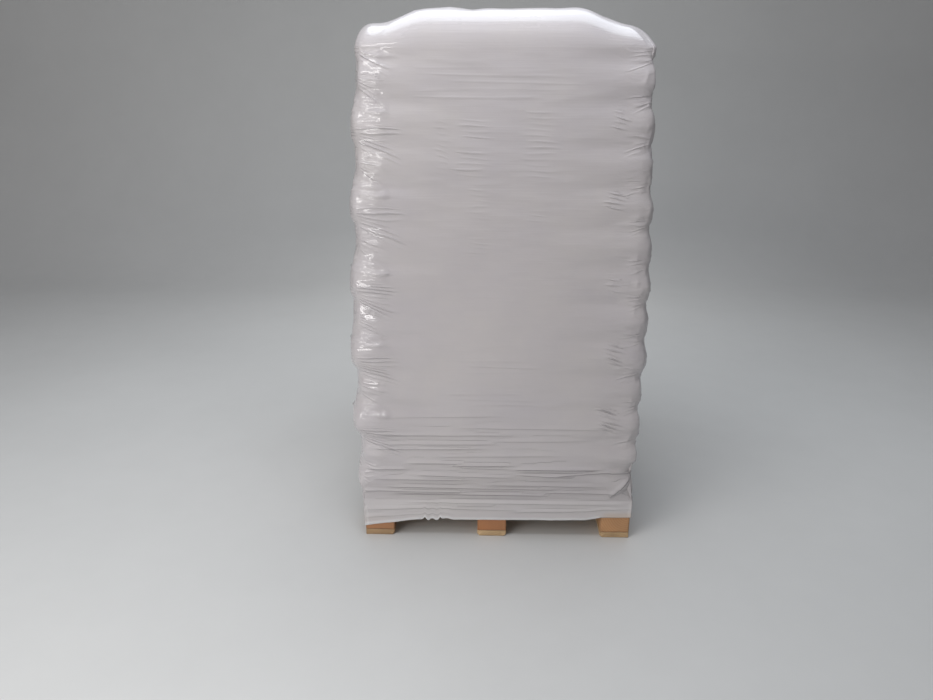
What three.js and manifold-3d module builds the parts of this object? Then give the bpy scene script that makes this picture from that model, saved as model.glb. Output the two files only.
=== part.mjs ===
// A wooden block pallet stacked with filled sacks, under a white stretch hood.
// Millimetres, +Z up. The origin is on the floor under the middle of the pallet.
// +X is to the right of someone facing the front, and -Y is the front.
import * as THREE from 'three';
import { mergeVertices } from 'three/addons/utils/BufferGeometryUtils.js';
import Module from 'manifold-3d';

// Pallet
const palletWidth = 1000;
const palletDepth = 1200;
const boardThickness = 24;
const runnerWidth = 110;
const runnerBevel = 9;
const middleRunnerShift = -20;
const blockHeight = 90;
const blockDepth = 145;
const stringerWidth = 145;
const deckBoardWidth = 100;
const deckBoardCount = 7;

// Sacks: each layer is three across the load beside two along it
const layerCount = 13;
const layerHeight = 130;
const topLayerHeight = 138;
const seatGap = 0.3;
const sackCornerRadius = 75;
const sackFaceInset = 34;
const sackSideInset = 4;
const acrossSackShare = 0.6;
const sackFusion = 1;
const lowerBulge = 0.35;
const upperBulge = 0.7;

// Load outline, measured to the film's outer face
const loadHalfWidthLow = 530;
const loadHalfWidthHigh = 485;
const loadHalfDepthLow = 626;
const loadHalfDepthHigh = 588;
const loadCornerRadius = 70;
const leftFoldDepth = 24;
const leftBulgeShare = 0.2;
const leftHollowShare = 0.65;
const rightFoldDepth = 18;
const faceFoldDepth = 5;
const faceBow = 6;

// Stretch hood
const filmThickness = 2;
const filmToPallet = 1;
const palletCornerRadius = 2;
const hemHeight = 72;
const hemFrontLeftHeight = 42;
const hemFrontRightHeight = 88;
const cornerSteps = 4;
const sideSteps = 4;
const domeSteps = [
  { drop: 62, inset: 20 },
  { drop: 42, inset: 86 },
  { drop: 28, inset: 145 },
  { drop: 8, inset: 198 },
  { drop: 0, inset: 232 },
];

const deckTop = 3 * boardThickness + blockHeight;
const topLayerBottom = deckTop + (layerCount - 1) * layerHeight;
const sackTop = topLayerBottom + topLayerHeight;
const hoodTop = sackTop + seatGap + filmThickness;

const wasm = await Module();
wasm.setup();

// Materials
function finish(colour, roughness) {
  return new THREE.MeshStandardMaterial({ color: colour, roughness, metalness: 0 });
}

const runnerWood = finish('#cdab7d', 0.8);
const blockWood = finish('#b5835a', 0.85);
const boardWood = finish('#c9a878', 0.8);
const sackFilm = finish('#d8d8d6', 0.55);
const hoodFilm = finish('#c9c7ca', 0.3);

const load = new THREE.Group();
load.name = 'pallet_of_sacks';

function addMesh(name, geometry, material, parent) {
  const mesh = new THREE.Mesh(geometry, material);
  mesh.name = name;
  parent.add(mesh);
  return mesh;
}

// Closed bodies between outlines that all have the same number of points, from the lowest up
function loft(rings) {
  const count = rings[0].length;
  const positions = [];
  const indices = [];
  for (const ring of rings) {
    for (const point of ring) {
      positions.push(point.x, point.y, point.z);
    }
  }
  for (let level = 0; level + 1 < rings.length; level += 1) {
    for (let step = 0; step < count; step += 1) {
      const here = level * count + step;
      const beside = level * count + ((step + 1) % count);
      indices.push(here, beside, beside + count, here, beside + count, here + count);
    }
  }
  const first = rings[0];
  const last = rings[rings.length - 1];
  const lastStart = (rings.length - 1) * count;
  const firstCentre = positions.length / 3;
  pushCentre(positions, first);
  pushCentre(positions, last);
  for (let step = 0; step < count; step += 1) {
    const next = (step + 1) % count;
    indices.push(firstCentre, next, step);
    indices.push(firstCentre + 1, lastStart + step, lastStart + next);
  }
  const geometry = new THREE.BufferGeometry();
  geometry.setAttribute('position', new THREE.Float32BufferAttribute(positions, 3));
  geometry.setIndex(indices);
  geometry.computeVertexNormals();
  return geometry;
}

function pushCentre(positions, ring) {
  const centre = new THREE.Vector3();
  for (const point of ring) {
    centre.addScaledVector(point, 1 / ring.length);
  }
  positions.push(centre.x, centre.y, centre.z);
}

// Solids for joining and cutting
function toSolid(geometry) {
  const bare = geometry.clone();
  bare.deleteAttribute('normal');
  bare.deleteAttribute('uv');
  const merged = mergeVertices(bare);
  const vertProperties = new Float32Array(merged.attributes.position.array);
  const triVerts = new Uint32Array(merged.index.array);
  return new wasm.Manifold(new wasm.Mesh({ numProp: 3, vertProperties, triVerts }));
}

function toGeometry(solid) {
  const mesh = solid.getMesh();
  const geometry = new THREE.BufferGeometry();
  geometry.setAttribute('position', new THREE.Float32BufferAttribute(mesh.vertProperties, 3));
  geometry.setIndex([...mesh.triVerts]);
  geometry.computeVertexNormals();
  return geometry;
}

// A rounded rectangle, anticlockwise from the right end of its front side
function roundedOutline(sides, radius, steps, straightSteps, bow) {
  const corners = [
    { x: sides.right - radius, y: sides.front + radius, start: -Math.PI / 2 },
    { x: sides.right - radius, y: sides.back - radius, start: 0 },
    { x: sides.left + radius, y: sides.back - radius, start: Math.PI / 2 },
    { x: sides.left + radius, y: sides.front + radius, start: Math.PI },
  ];
  const points = [];
  corners.forEach((corner, index) => {
    for (let step = 0; step <= steps; step += 1) {
      const angle = corner.start + (Math.PI / 2) * (step / steps);
      const x = corner.x + radius * Math.cos(angle);
      const y = corner.y + radius * Math.sin(angle);
      points.push(new THREE.Vector2(x, y));
    }
    const from = points[points.length - 1];
    const following = corners[(index + 1) % corners.length];
    const toX = following.x + radius * Math.cos(following.start);
    const toY = following.y + radius * Math.sin(following.start);
    const outward = corner.start + Math.PI / 2;
    for (let step = 1; step < straightSteps; step += 1) {
      const share = step / straightSteps;
      const push = bow * Math.sin(Math.PI * share);
      const x = from.x + (toX - from.x) * share + push * Math.cos(outward);
      const y = from.y + (toY - from.y) * share + push * Math.sin(outward);
      points.push(new THREE.Vector2(x, y));
    }
  });
  return points;
}

function raise(outline, height) {
  return outline.map((point) => new THREE.Vector3(point.x, point.y, height));
}

// How far the load has narrowed at a height, and how deep each face folds in between sacks
function widthShare(height) {
  return THREE.MathUtils.clamp((height - deckTop) / (sackTop - deckTop), 0, 1);
}

function leftFold(height) {
  const pairHeight = 2 * layerHeight;
  const share = ((height - deckTop) / pairHeight) % 1;
  if (share < leftBulgeShare) {
    return leftFoldDepth * (1 - share / leftBulgeShare) ** 2;
  }
  return leftFoldDepth * THREE.MathUtils.smoothstep(share, leftBulgeShare, leftHollowShare);
}

function layerFold(height, depth) {
  const share = ((height - deckTop) / layerHeight) % 1;
  return depth * (1 - Math.sqrt(Math.sin(Math.PI * share)));
}

function loadSides(height, inset) {
  const share = widthShare(height);
  const halfWidth = THREE.MathUtils.lerp(loadHalfWidthLow, loadHalfWidthHigh, share) - inset;
  const halfDepth = THREE.MathUtils.lerp(loadHalfDepthLow, loadHalfDepthHigh, share) - inset;
  return {
    left: -halfWidth + leftFold(height),
    right: halfWidth - layerFold(height, rightFoldDepth),
    front: -halfDepth + layerFold(height, faceFoldDepth),
    back: halfDepth - layerFold(height, faceFoldDepth),
  };
}

// Pallet
function timber(name, width, depth, height, x, y, bottom, material, parent) {
  const mesh = addMesh(name, new THREE.BoxGeometry(width, depth, height), material, parent);
  mesh.position.set(x, y, bottom + height / 2);
}

function runnerGeometry() {
  const half = runnerWidth / 2;
  const section = new THREE.Shape();
  section.moveTo(-half + runnerBevel, 0);
  section.lineTo(half - runnerBevel, 0);
  section.lineTo(half, runnerBevel);
  section.lineTo(half, boardThickness);
  section.lineTo(-half, boardThickness);
  section.lineTo(-half, runnerBevel);
  section.closePath();
  const geometry = new THREE.ExtrudeGeometry(section, { depth: palletDepth, bevelEnabled: false });
  geometry.rotateX(Math.PI / 2);
  geometry.translate(0, palletDepth / 2, 0);
  return geometry;
}

function buildPallet() {
  const pallet = new THREE.Group();
  const sideX = (palletWidth - runnerWidth) / 2;
  const endY = (palletDepth - blockDepth) / 2;
  const columns = [
    { side: 'left', x: -sideX },
    { side: 'middle', x: middleRunnerShift },
    { side: 'right', x: sideX },
  ];
  const rows = [
    { end: 'front', y: -endY },
    { end: 'centre', y: 0 },
    { end: 'back', y: endY },
  ];
  for (const column of columns) {
    const runner = addMesh(`runner_${column.side}`, runnerGeometry(), runnerWood, pallet);
    runner.position.x = column.x;
    for (const row of rows) {
      const name = `block_${row.end}_${column.side}`;
      const bottom = boardThickness;
      timber(name, runnerWidth, blockDepth, blockHeight, column.x, row.y, bottom, blockWood, pallet);
    }
  }
  const stringerBottom = boardThickness + blockHeight;
  for (const row of rows) {
    const name = `stringer_${row.end}`;
    timber(name, palletWidth, stringerWidth, boardThickness, 0, row.y, stringerBottom, boardWood, pallet);
  }
  const deckBottom = stringerBottom + boardThickness;
  const pitch = (palletWidth - deckBoardWidth) / (deckBoardCount - 1);
  for (let index = 0; index < deckBoardCount; index += 1) {
    const x = -palletWidth / 2 + deckBoardWidth / 2 + index * pitch;
    const name = `deck_board_${index + 1}`;
    timber(name, deckBoardWidth, palletDepth, boardThickness, x, 0, deckBottom, boardWood, pallet);
  }
  return pallet;
}

// One filled sack, pressed flat above and below and round at its sides
function sackSolid(sides, bottom, height) {
  const levels = [
    { rise: 0, inset: sackFaceInset },
    { rise: lowerBulge, inset: 0 },
    { rise: upperBulge, inset: 0 },
    { rise: 1, inset: sackFaceInset },
  ];
  const rings = levels.map(({ rise, inset }) => {
    const shrunk = {
      left: sides.left + inset,
      right: sides.right - inset,
      front: sides.front + inset,
      back: sides.back - inset,
    };
    return raise(roundedOutline(shrunk, sackCornerRadius, 2, 1, 0), bottom + rise * height);
  });
  return toSolid(loft(rings));
}

// Where the sacks of a layer lie: three across on one side and two along on the other
function sackPlaces(area, acrossOnRight) {
  const width = area.right - area.left;
  const depth = area.back - area.front;
  const split = acrossOnRight
    ? area.right - acrossSackShare * width
    : area.left + acrossSackShare * width;
  const across = acrossOnRight ? [split, area.right] : [area.left, split];
  const along = acrossOnRight ? [area.left, split] : [split, area.right];
  const places = [];
  for (const [column, rowsInColumn] of [[across, 3], [along, 2]]) {
    const pitch = depth / rowsInColumn;
    for (let row = 0; row < rowsInColumn; row += 1) {
      const front = area.front + pitch * row - sackFusion;
      places.push({
        left: Math.max(column[0] - sackFusion, area.left),
        right: Math.min(column[1] + sackFusion, area.right),
        front: Math.max(front, area.front),
        back: Math.min(front + pitch + 2 * sackFusion, area.back),
      });
    }
  }
  return places;
}

function layerSolid(index) {
  const bottom = deckTop + index * layerHeight;
  const isTop = index === layerCount - 1;
  const height = (isTop ? topLayerHeight : layerHeight) - seatGap;
  const inset = filmThickness + sackSideInset;
  const low = loadSides(bottom + lowerBulge * layerHeight, inset);
  const high = loadSides(bottom + upperBulge * layerHeight, inset);
  const area = {
    left: Math.max(low.left, high.left),
    right: Math.min(low.right, high.right),
    front: Math.max(low.front, high.front),
    back: Math.min(low.back, high.back),
  };
  let solid = null;
  for (const place of sackPlaces(area, index % 2 === 0)) {
    const sack = sackSolid(place, bottom + seatGap, height);
    solid = solid ? solid.add(sack) : sack;
  }
  if (isTop) {
    const roomUnderHood = toSolid(loft(loadRings(filmThickness + 2 * seatGap, topLayerBottom)));
    return solid.intersect(roomUnderHood);
  }
  return solid;
}

// The hood's outlines from a starting height up to the crown, drawn in by an inset
function loadRings(inset, from) {
  const rings = [];
  const start = Math.round((from - deckTop) / layerHeight);
  for (let layer = start; layer < layerCount; layer += 1) {
    for (const rise of [0, lowerBulge, upperBulge]) {
      const height = deckTop + (layer + rise) * layerHeight;
      const underDome = height < hoodTop - domeSteps[0].drop;
      const clearOfDeck = height > deckTop;
      if (underDome && clearOfDeck) {
        rings.push(loadRing(height, inset, height));
      }
    }
  }
  const shoulder = topLayerBottom + lowerBulge * layerHeight;
  for (const { drop, inset: domeInset } of domeSteps) {
    rings.push(loadRing(shoulder, inset + domeInset, hoodTop - drop - inset));
  }
  return rings;
}

function loadRing(shapeHeight, inset, height) {
  const radius = Math.max(loadCornerRadius - inset / 2, palletCornerRadius);
  const outline = roundedOutline(loadSides(shapeHeight, inset), radius, cornerSteps, sideSteps, faceBow);
  return raise(outline, height);
}

// The hood's outlines round the pallet, with the hem dipping at the front left corner
function palletRing(heightAt, inset) {
  const reach = filmToPallet + filmThickness - inset;
  const sides = {
    left: -palletWidth / 2 - reach,
    right: palletWidth / 2 + reach,
    front: -palletDepth / 2 - reach,
    back: palletDepth / 2 + reach,
  };
  const outline = roundedOutline(sides, palletCornerRadius, cornerSteps, sideSteps, 0);
  return outline.map((point) => new THREE.Vector3(point.x, point.y, heightAt(point)));
}

function hemAt(point) {
  const nearCorner = palletWidth / 2 - palletCornerRadius;
  const isFront = point.y < -palletDepth / 2 + deckBoardWidth;
  if (isFront && point.x < -nearCorner) {
    return hemFrontLeftHeight;
  }
  return isFront && point.x > nearCorner ? hemFrontRightHeight : hemHeight;
}

function hoodGeometry() {
  const outer = [palletRing(hemAt, 0), palletRing(() => deckTop, 0), ...loadRings(0, deckTop)];
  const inner = [
    palletRing(hemAt, filmThickness),
    palletRing(() => deckTop, filmThickness),
    ...loadRings(filmThickness, deckTop),
  ];
  return loft([...inner.reverse(), ...outer]);
}

load.add(buildPallet());
for (let index = 0; index < layerCount; index += 1) {
  const name = `sack_layer_${String(index + 1).padStart(2, '0')}`;
  addMesh(name, toGeometry(layerSolid(index)), sackFilm, load);
}
addMesh('stretch_hood', hoodGeometry(), hoodFilm, load);

export default load;
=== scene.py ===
"""Dresses a packed pallet of sacks: stretch hood, filled sacks, timber, nails, floor, light and camera."""

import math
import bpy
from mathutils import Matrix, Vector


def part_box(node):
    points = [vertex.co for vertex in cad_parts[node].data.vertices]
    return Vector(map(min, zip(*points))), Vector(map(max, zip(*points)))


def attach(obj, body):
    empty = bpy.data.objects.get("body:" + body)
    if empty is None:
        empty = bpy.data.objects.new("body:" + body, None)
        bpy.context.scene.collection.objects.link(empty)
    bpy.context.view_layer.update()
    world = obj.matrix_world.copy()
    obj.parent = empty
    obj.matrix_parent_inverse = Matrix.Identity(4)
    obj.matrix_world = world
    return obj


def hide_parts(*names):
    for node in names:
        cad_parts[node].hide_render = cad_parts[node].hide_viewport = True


bl_info = {
    "name": "Hooded Pallet of Sacks",
    "version": (1, 0, 0),
    "blender": (4, 5, 0),
    "location": "View3D > Sidebar > Sacks",
    "description": "Builds the film hood, the sacks, the pallet and a studio round a pallet of sacks",
    "category": "Object",
}

from dataclasses import dataclass

import bmesh
import bpy
import numpy as np
from bpy.props import FloatProperty, FloatVectorProperty, IntProperty, PointerProperty
from bpy.types import Operator, Panel, PropertyGroup

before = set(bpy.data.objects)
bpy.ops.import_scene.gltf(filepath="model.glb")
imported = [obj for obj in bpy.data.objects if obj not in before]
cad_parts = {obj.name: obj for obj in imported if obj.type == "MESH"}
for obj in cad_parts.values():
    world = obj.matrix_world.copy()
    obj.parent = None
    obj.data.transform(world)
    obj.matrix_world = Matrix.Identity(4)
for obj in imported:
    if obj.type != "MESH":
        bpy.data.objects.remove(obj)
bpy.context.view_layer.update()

# What the frame says about the load
BODY = "root"
HOOD_NODE = "stretch_hood"
LAYER_NODES = sorted(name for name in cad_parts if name.startswith("sack_layer_"))
DECK_NODES = sorted(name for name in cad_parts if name.startswith("deck_board_"))
STRINGER_NODES = ["stringer_front", "stringer_centre", "stringer_back"]
RUNNER_NODES = ["runner_left", "runner_middle", "runner_right"]
BLOCK_NODES = sorted(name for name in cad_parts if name.startswith("block_"))
SACK_PIECE = "sacks_in_layer_{:02d}"
HALF_WIDTH, HALF_DEPTH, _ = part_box("stringer_back")[1]
DECK_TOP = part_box(DECK_NODES[0])[1].z
LAYER_LOWS = [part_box(name)[0].z for name in LAYER_NODES]
LAYER_HEIGHT = LAYER_LOWS[1] - LAYER_LOWS[0]
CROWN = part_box(HOOD_NODE)[1].z

# The load's outline under the film, from the middle to its face
HALF_WIDTH_LOW = 0.530
HALF_WIDTH_HIGH = 0.486
HALF_DEPTH_LOW = 0.626
HALF_DEPTH_HIGH = 0.588
CORNER_RADIUS = 0.108
CORNER_SOFTNESS = 0.7
CORNER_SHARES = [0.55, 1.0, 0.55, 1.0]
SHOULDER = 1.745
ACROSS_SHARE = 0.6

# How far the film's skirt stands off the pallet, the radius of its corners, and a neck's drop under its joint
GRIP = 0.0026
SKIRT_RADIUS = 0.004
NECK_DROP = 0.013

# How close the hood's columns stand beside the corners and on each side, and finer zones: middle, half, step
FINE_STEP = 0.0105
END_MARGIN = 0.09
FRONT_STEP = 0.0165
BACK_STEP = 0.030
SIDE_STEP = 0.0295
FRONT_ZONES = [(0.168, 0.062, 0.0058)]

# Rounds in which the film's tension is worked out
DRAWING_ROUNDS = 900

# The hood's top: half sizes, how far its rounded edges reach in, and the weld's half length
TOP_HALF_WIDTH = 0.489
TOP_HALF_DEPTH = 0.590
TOP_IN_X = 0.09
TOP_IN_Y = 0.11
WELD_HALF = 0.300

# How far from the middle the front's two edges stand at their bulges, hollows and necks, read off the photo
LEFT_EDGE = {
    "bulges": [0.516, 0.532, 0.527, 0.519, 0.507, 0.492, 0.469],
    "hollows": [0.504, 0.504, 0.511, 0.491, 0.480, 0.466],
    "necks": [0.506, 0.506, 0.509, 0.494, 0.482, 0.465],
    "layers": 2,
    "foot": 0.496,
    "first_rise": 0.105,
    "rise": 0.038,
    "highest": CROWN,
}
RIGHT_EDGE = {
    "bulges": [0.480, 0.509, 0.515, 0.511, 0.520, 0.512, 0.511, 0.506, 0.503, 0.491, 0.487, 0.470, 0.472],
    "hollows": [],
    "necks": [0.487, 0.500, 0.501, 0.503, 0.504, 0.499, 0.499, 0.492, 0.487, 0.478, 0.470, 0.461],
    "layers": 1,
    "foot": 0.490,
    "first_rise": 0.090,
    "rise": 0.043,
    "highest": SHOULDER,
}

# How far those readings fall short of the outline that the camera sees, and where the outline starts
LEFT_SHORT = 0.009
RIGHT_SHORT = 0.001
OUTLINE_START = 0.498
FOOT_RISE = 0.030

# Turns in degrees about which the outline is held, how far to both sides, and how much of it points back
HELD_DEGREES = {"front_left": 190.0, "front_right": -10.0, "back_left": 170.0, "back_right": 10.0}
HELD_REACH = 6.5
HELD_SLANT = 0.17

# The hem across the front, read off the photo: its height from left to right, at the back, and its torn rags
HEM_X = [-0.503, -0.470, -0.386, -0.340, -0.300, 0.000, 0.330, 0.384, 0.503]
HEM_Z = [0.041, 0.047, 0.058, 0.066, 0.071, 0.073, 0.076, 0.088, 0.090]
HEM_LEVEL = 0.0735
HEM_RAGS = [(-0.272, 0.0110), (-0.260, -0.0050), (-0.246, 0.0060), (-0.226, -0.0050),
            (-0.213, 0.0120), (-0.198, -0.0060), (-0.184, 0.0080), (-0.172, -0.0020)]

# Sets of short folds on the front, read off the photo: left end, width, low, high, degrees, count, strength
FRONT_SETS = [
    (-0.223, 0.055, 1.387, 1.511, 12.0, 8, 0.42),
    (-0.140, 0.115, 1.481, 1.532, 3.0, 4, 0.55),
    (-0.150, 0.130, 1.362, 1.434, 3.0, 5, 0.55),
    (0.072, 0.118, 1.375, 1.539, 2.0, 10, 0.42),
    (-0.112, 0.075, 1.223, 1.314, 3.0, 6, 0.38),
    (0.088, 0.070, 1.214, 1.246, 3.0, 3, 0.35),
    (-0.112, 0.075, 1.106, 1.153, 3.0, 4, 0.35),
    (-0.135, 0.285, 0.680, 0.722, 0.5, 3, 0.30),
    (-0.135, 0.285, 0.555, 0.598, 0.5, 3, 0.30),
    (-0.245, 0.484, 1.602, 1.690, 0.5, 5, 0.26),
    (0.358, 0.055, 1.512, 1.560, 15.0, 4, 1.90),
    (0.350, 0.072, 1.261, 1.308, 12.0, 4, 1.90),
    (0.360, 0.055, 0.979, 1.018, 10.0, 3, 1.60),
    (0.357, 0.068, 0.724, 0.790, 18.0, 5, 1.90),
    (0.350, 0.090, 0.469, 0.538, 18.0, 5, 2.10),
]

# Long pleats low on the front, read off the photo: left end's place and height, right end's, and lift
FRONT_PLEATS = [
    (0.030, 0.297, 0.372, 0.295, 0.0060),
    (-0.160, 0.301, 0.050, 0.298, 0.0020),
    (-0.330, 0.316, -0.100, 0.320, 0.0034),
    (-0.200, 0.309, 0.060, 0.312, 0.0034),
    (-0.480, 0.286, -0.320, 0.290, 0.0034),
    (0.150, 0.266, 0.440, 0.287, 0.0040),
    (0.060, 0.274, 0.300, 0.262, 0.0026),
    (-0.300, 0.268, 0.060, 0.262, 0.0024),
    (-0.420, 0.246, -0.080, 0.250, 0.0026),
    (-0.080, 0.228, 0.320, 0.222, 0.0024),
    (-0.400, 0.214, 0.250, 0.208, 0.0030),
    (-0.380, 0.183, 0.180, 0.181, 0.0044),
    (-0.470, 0.196, -0.060, 0.192, 0.0034),
    (0.120, 0.196, 0.400, 0.190, 0.0028),
    (-0.250, 0.345, 0.200, 0.352, 0.0018),
    (-0.470, 0.372, -0.050, 0.378, 0.0026),
    (-0.430, 0.392, 0.020, 0.398, 0.0024),
    (-0.060, 0.408, 0.300, 0.412, 0.0016),
    (-0.450, 0.428, 0.060, 0.434, 0.0026),
    (-0.150, 0.462, 0.380, 0.458, 0.0016),
    (-0.420, 0.500, 0.000, 0.508, 0.0014),
    (-0.300, 0.145, 0.420, 0.142, 0.0024),
    (-0.160, 0.133, 0.020, 0.132, 0.0024),
    (-0.450, 0.124, 0.100, 0.114, 0.0024),
    (0.000, 0.104, 0.460, 0.116, 0.0022),
    (-0.440, 0.098, -0.150, 0.094, 0.0018),
]
PLEAT_WIDTH = 0.0090
PLEAT_STEP = 0.35

# A fold on the diagonal of each lower corner but the front left: where it starts beside the corner, its
# length and its film's depth
GUSSET_START = 0.131
GUSSET_LENGTH = 0.150
GUSSET_DEPTH = 0.010

# Puckers under a deep neck: distance from the corner, drop, degrees, length and lift
PUCKERS = [(0.000, 0.135, -14.0, 0.040, 0.8), (0.062, 0.155, -4.0, 0.060, 0.9),
           (0.010, 0.148, -9.0, 0.030, 0.6), (0.056, 0.088, -75.0, 0.026, 0.6),
           (0.020, 0.062, -3.0, 0.080, 0.5), (0.030, 0.040, 60.0, 0.020, 0.6),
           (0.012, 0.078, -50.0, 0.024, 0.5), (0.040, 0.100, -70.0, 0.022, 0.5)]

# Folds side by side: a fold's height, the least pitch at that height, and how far a set reaches past its ends
FOLD_SWELL = 0.0014
FOLD_PITCH = 0.016
SET_MARGIN = 0.06

# Corners with deep necks, and every layer with both ways round the load from a corner
DEEP_CORNERS = (1, 3)
NECKS = [(index, low, way) for index, low in enumerate(LAYER_LOWS) for way in (-1.0, 1.0)]

# Soft waves: the radius of the ring that they are drawn on, and how high the broad, level and hem's ones are
WAVE_RADIUS = 0.74
BROAD_WAVES = 0.0018
LEVEL_WAVES = 0.0007
HEM_WAVES = 0.0013

# How many sets, pleats, creases, folds of the top and nicks of the hem are drawn at random
SIDE_SETS = 11
SIDE_PLEATS = 24
CORNER_CREASES = 60
SHOULDER_CREASES = 9
FAINT_CREASES = 150
TOP_CORNER_FOLDS = 11
TOP_EDGE_FOLDS = 46
HEM_NICKS = 26

# How red, dark or pale the pieces that show at the front are beside the rest
FRONT_TONES = {"block_front_middle": (0.67, 0.49, 0.43), "block_front_left": (0.71, 0.60, 0.57),
               "block_front_right": (0.91, 0.88, 0.82), "runner_left": (0.72, 0.69, 0.69),
               "runner_middle": (1.16, 1.16, 1.14), "runner_right": (1.07, 1.05, 1.02)}

# Sacks: how full, square and pinched in, how far turned, and the room of outer layers, film and crown
SACK_FILL = 0.32
SACK_CORNERS = 5.0
SACK_PINCH = 0.035
SACK_TURN = 0.006
OUTER_ROOM = 0.012
FILM_ROOM = 0.026
CROWN_ROOM = 0.004

# Timber: its warp, how wide its edges are darkened, part by wear and part by painted shade where the parts
# meet, the runners' bevel, and how it is cut across to take the warp
WARP = 0.0005
EDGE_WEAR_AND_SHADE = 0.005
RUNNER_BEVEL = 0.009
CUT_PITCH = 0.022
MOST_CUTS = 40
EDGE_STRIP = 0.007
TIMBER_SEED = 41
WARP_SEED = 100
RUNNER_SIDES = {"runner_left": (True,), "runner_middle": (True, False), "runner_right": (False,)}

# Nails: a head's height, how deep it is sunk, and where the two stand over each stringer
NAIL_HEIGHT = 0.0009
NAIL_SUNK = 0.0004
NAIL_SPOTS = ((0.28, 0.35), (0.72, 0.65))

# Colours of the finishes beside those of the settings
CREASE_SHADE = (0.20, 0.19, 0.19, 1.0)
WOOD_BEHIND_FILM = (0.50, 0.34, 0.20, 1.0)
# Paler skirt, and the painted highlight along the hem's rim
HEM_PALE_AND_HIGHLIGHT = (0.86, 0.87, 0.88, 1.0)
SOIL_COLOUR = (0.16, 0.12, 0.085, 1.0)
# Darkens every timber edge: part wear, part painted shade where the parts meet
WORN_AND_SHADED_EDGE_COLOUR = (0.17, 0.10, 0.055, 1.0)
STEEL_COLOUR = (0.36, 0.35, 0.34, 1.0)
RUST_COLOUR = (0.16, 0.075, 0.04, 1.0)

# Relief that the film's finish adds: drawn lines, fans of folds and pleats
LINE_RELIEF = 0.0009
FOLD_RELIEF = 0.0031
PLEAT_RELIEF = 0.0038

# Lights: the setting of the power, its share, size, place, target, colour, and whether the film mirrors it
WARM = (1.0, 0.985, 0.97)
WINDOW_TARGET = (-1.1, -0.1, 1.1)
LIGHTS = {
    "high_window": ("key", 1.0, (3.2, 0.30), (-2.6, -2.7, 3.14), WINDOW_TARGET, WARM, True),
    "middle_window": ("key", 0.58, (3.2, 0.15), (-2.6, -2.7, 1.95), WINDOW_TARGET, WARM, True),
    "low_window": ("key", 0.58, (3.2, 0.15), (-2.6, -2.7, 0.60), WINDOW_TARGET, WARM, True),
    "side_light": ("side", 1.0, (1.4, 1.8), (-2.3, -3.0, 1.5), (-0.3, -0.5, 0.9), WARM, False),
    "front_top_light": ("front_top", 1.0, (1.6, 0.5), (-0.1, -1.35, 2.95), (0.0, -0.6, 1.2),
                        (0.94, 0.96, 1.0), False),
    "low_light": ("low", 1.0, (1.6, 0.3), (-0.45, -2.1, 0.42), (-0.1, -0.6, 0.42), (1.0, 1.0, 0.98), False),
    "back_light": ("back", 1.0, (1.0, 1.6), (0.0, 3.3, 1.7), (0.0, 0.6, 0.9), WARM, False),
    "overhead_light": ("top", 1.0, (3.0, 2.5), (0.0, 0.3, 3.9), (0.0, 0.0, 1.0), (0.86, 0.93, 1.0), True),
}


# Settings


class HoodSettings(PropertyGroup):
    """Sizes and finish of the film hood."""

    film: FloatProperty(name="Film", description="Thickness of the film as modelled", default=0.0016,
                        unit="LENGTH")
    groove: FloatProperty(name="Groove", description="How far the sacks draw in where layers meet",
                          default=0.030, unit="LENGTH")
    hoop: FloatProperty(name="Hoop tension", description="Pull round the load beside the pull up and down it",
                        default=5.0)
    crease: FloatProperty(name="Crease", description="Height of the creases that fan out of the corners",
                          default=0.0042, unit="LENGTH")
    colour: FloatVectorProperty(name="Colour", description="Milky film", subtype="COLOR", size=3,
                                default=(0.512, 0.480, 0.475))
    seed: IntProperty(name="Seed", description="Which set of creases", default=7)


class SackSettings(PropertyGroup):
    """Shape and finish of the filled sacks."""

    inset: FloatProperty(name="Room", description="Gap between the sacks and the film's outline",
                         default=0.040, unit="LENGTH")
    colour: FloatVectorProperty(name="Colour", description="Plastic of the sacks", subtype="COLOR", size=3,
                                default=(0.70, 0.70, 0.68))


class TimberSettings(PropertyGroup):
    """Finish of the pallet's boards and blocks."""

    round_edge: FloatProperty(name="Worn edge", description="How round the sawn edges are",
                              default=0.0022, unit="LENGTH")
    pale: FloatVectorProperty(name="Pale wood", description="Wood between the rings", subtype="COLOR", size=3,
                              default=(0.72, 0.54, 0.33))
    dark: FloatVectorProperty(name="Dark wood", description="The rings", subtype="COLOR", size=3,
                              default=(0.47, 0.28, 0.13))
    block: FloatVectorProperty(name="Block wood", description="Weathered face of a block", subtype="COLOR",
                               size=3, default=(0.48, 0.21, 0.09))
    nail: FloatProperty(name="Nail head", description="Width of a nail's head", default=0.008, unit="LENGTH")


class StudioSettings(PropertyGroup):
    """Camera, floor and light."""

    eye: FloatVectorProperty(name="Camera", description="Where the camera stands", subtype="TRANSLATION",
                             size=3, default=(-0.051, -3.200, 1.720))
    tilt: FloatProperty(name="Tilt", description="Camera's tilt from straight down", subtype="ANGLE",
                        default=math.radians(69.67))
    turn: FloatProperty(name="Turn", description="Camera's turn to the left", subtype="ANGLE",
                        default=math.radians(1.43))
    lens: FloatProperty(name="Lens", description="Focal length in millimetres", default=30.64)
    key: FloatProperty(name="Key light", description="Power of the window light from the front left",
                       default=26.0)
    side: FloatProperty(name="Side light", description="Power of the soft light from the left", default=17.0)
    front_top: FloatProperty(name="Front top light", description="Power of the light that grazes the front",
                             default=17.5)
    low: FloatProperty(name="Low light", description="Power of the light off the floor in front", default=1.7)
    back: FloatProperty(name="Back light", description="Power of the soft light behind the load",
                        default=20.0)
    top: FloatProperty(name="Top light", description="Power of the soft light overhead", default=73.0)
    floor: FloatVectorProperty(name="Floor", description="Plain pale floor", subtype="COLOR", size=3,
                               default=(0.62, 0.62, 0.61))


# Small tools for meshes


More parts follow.
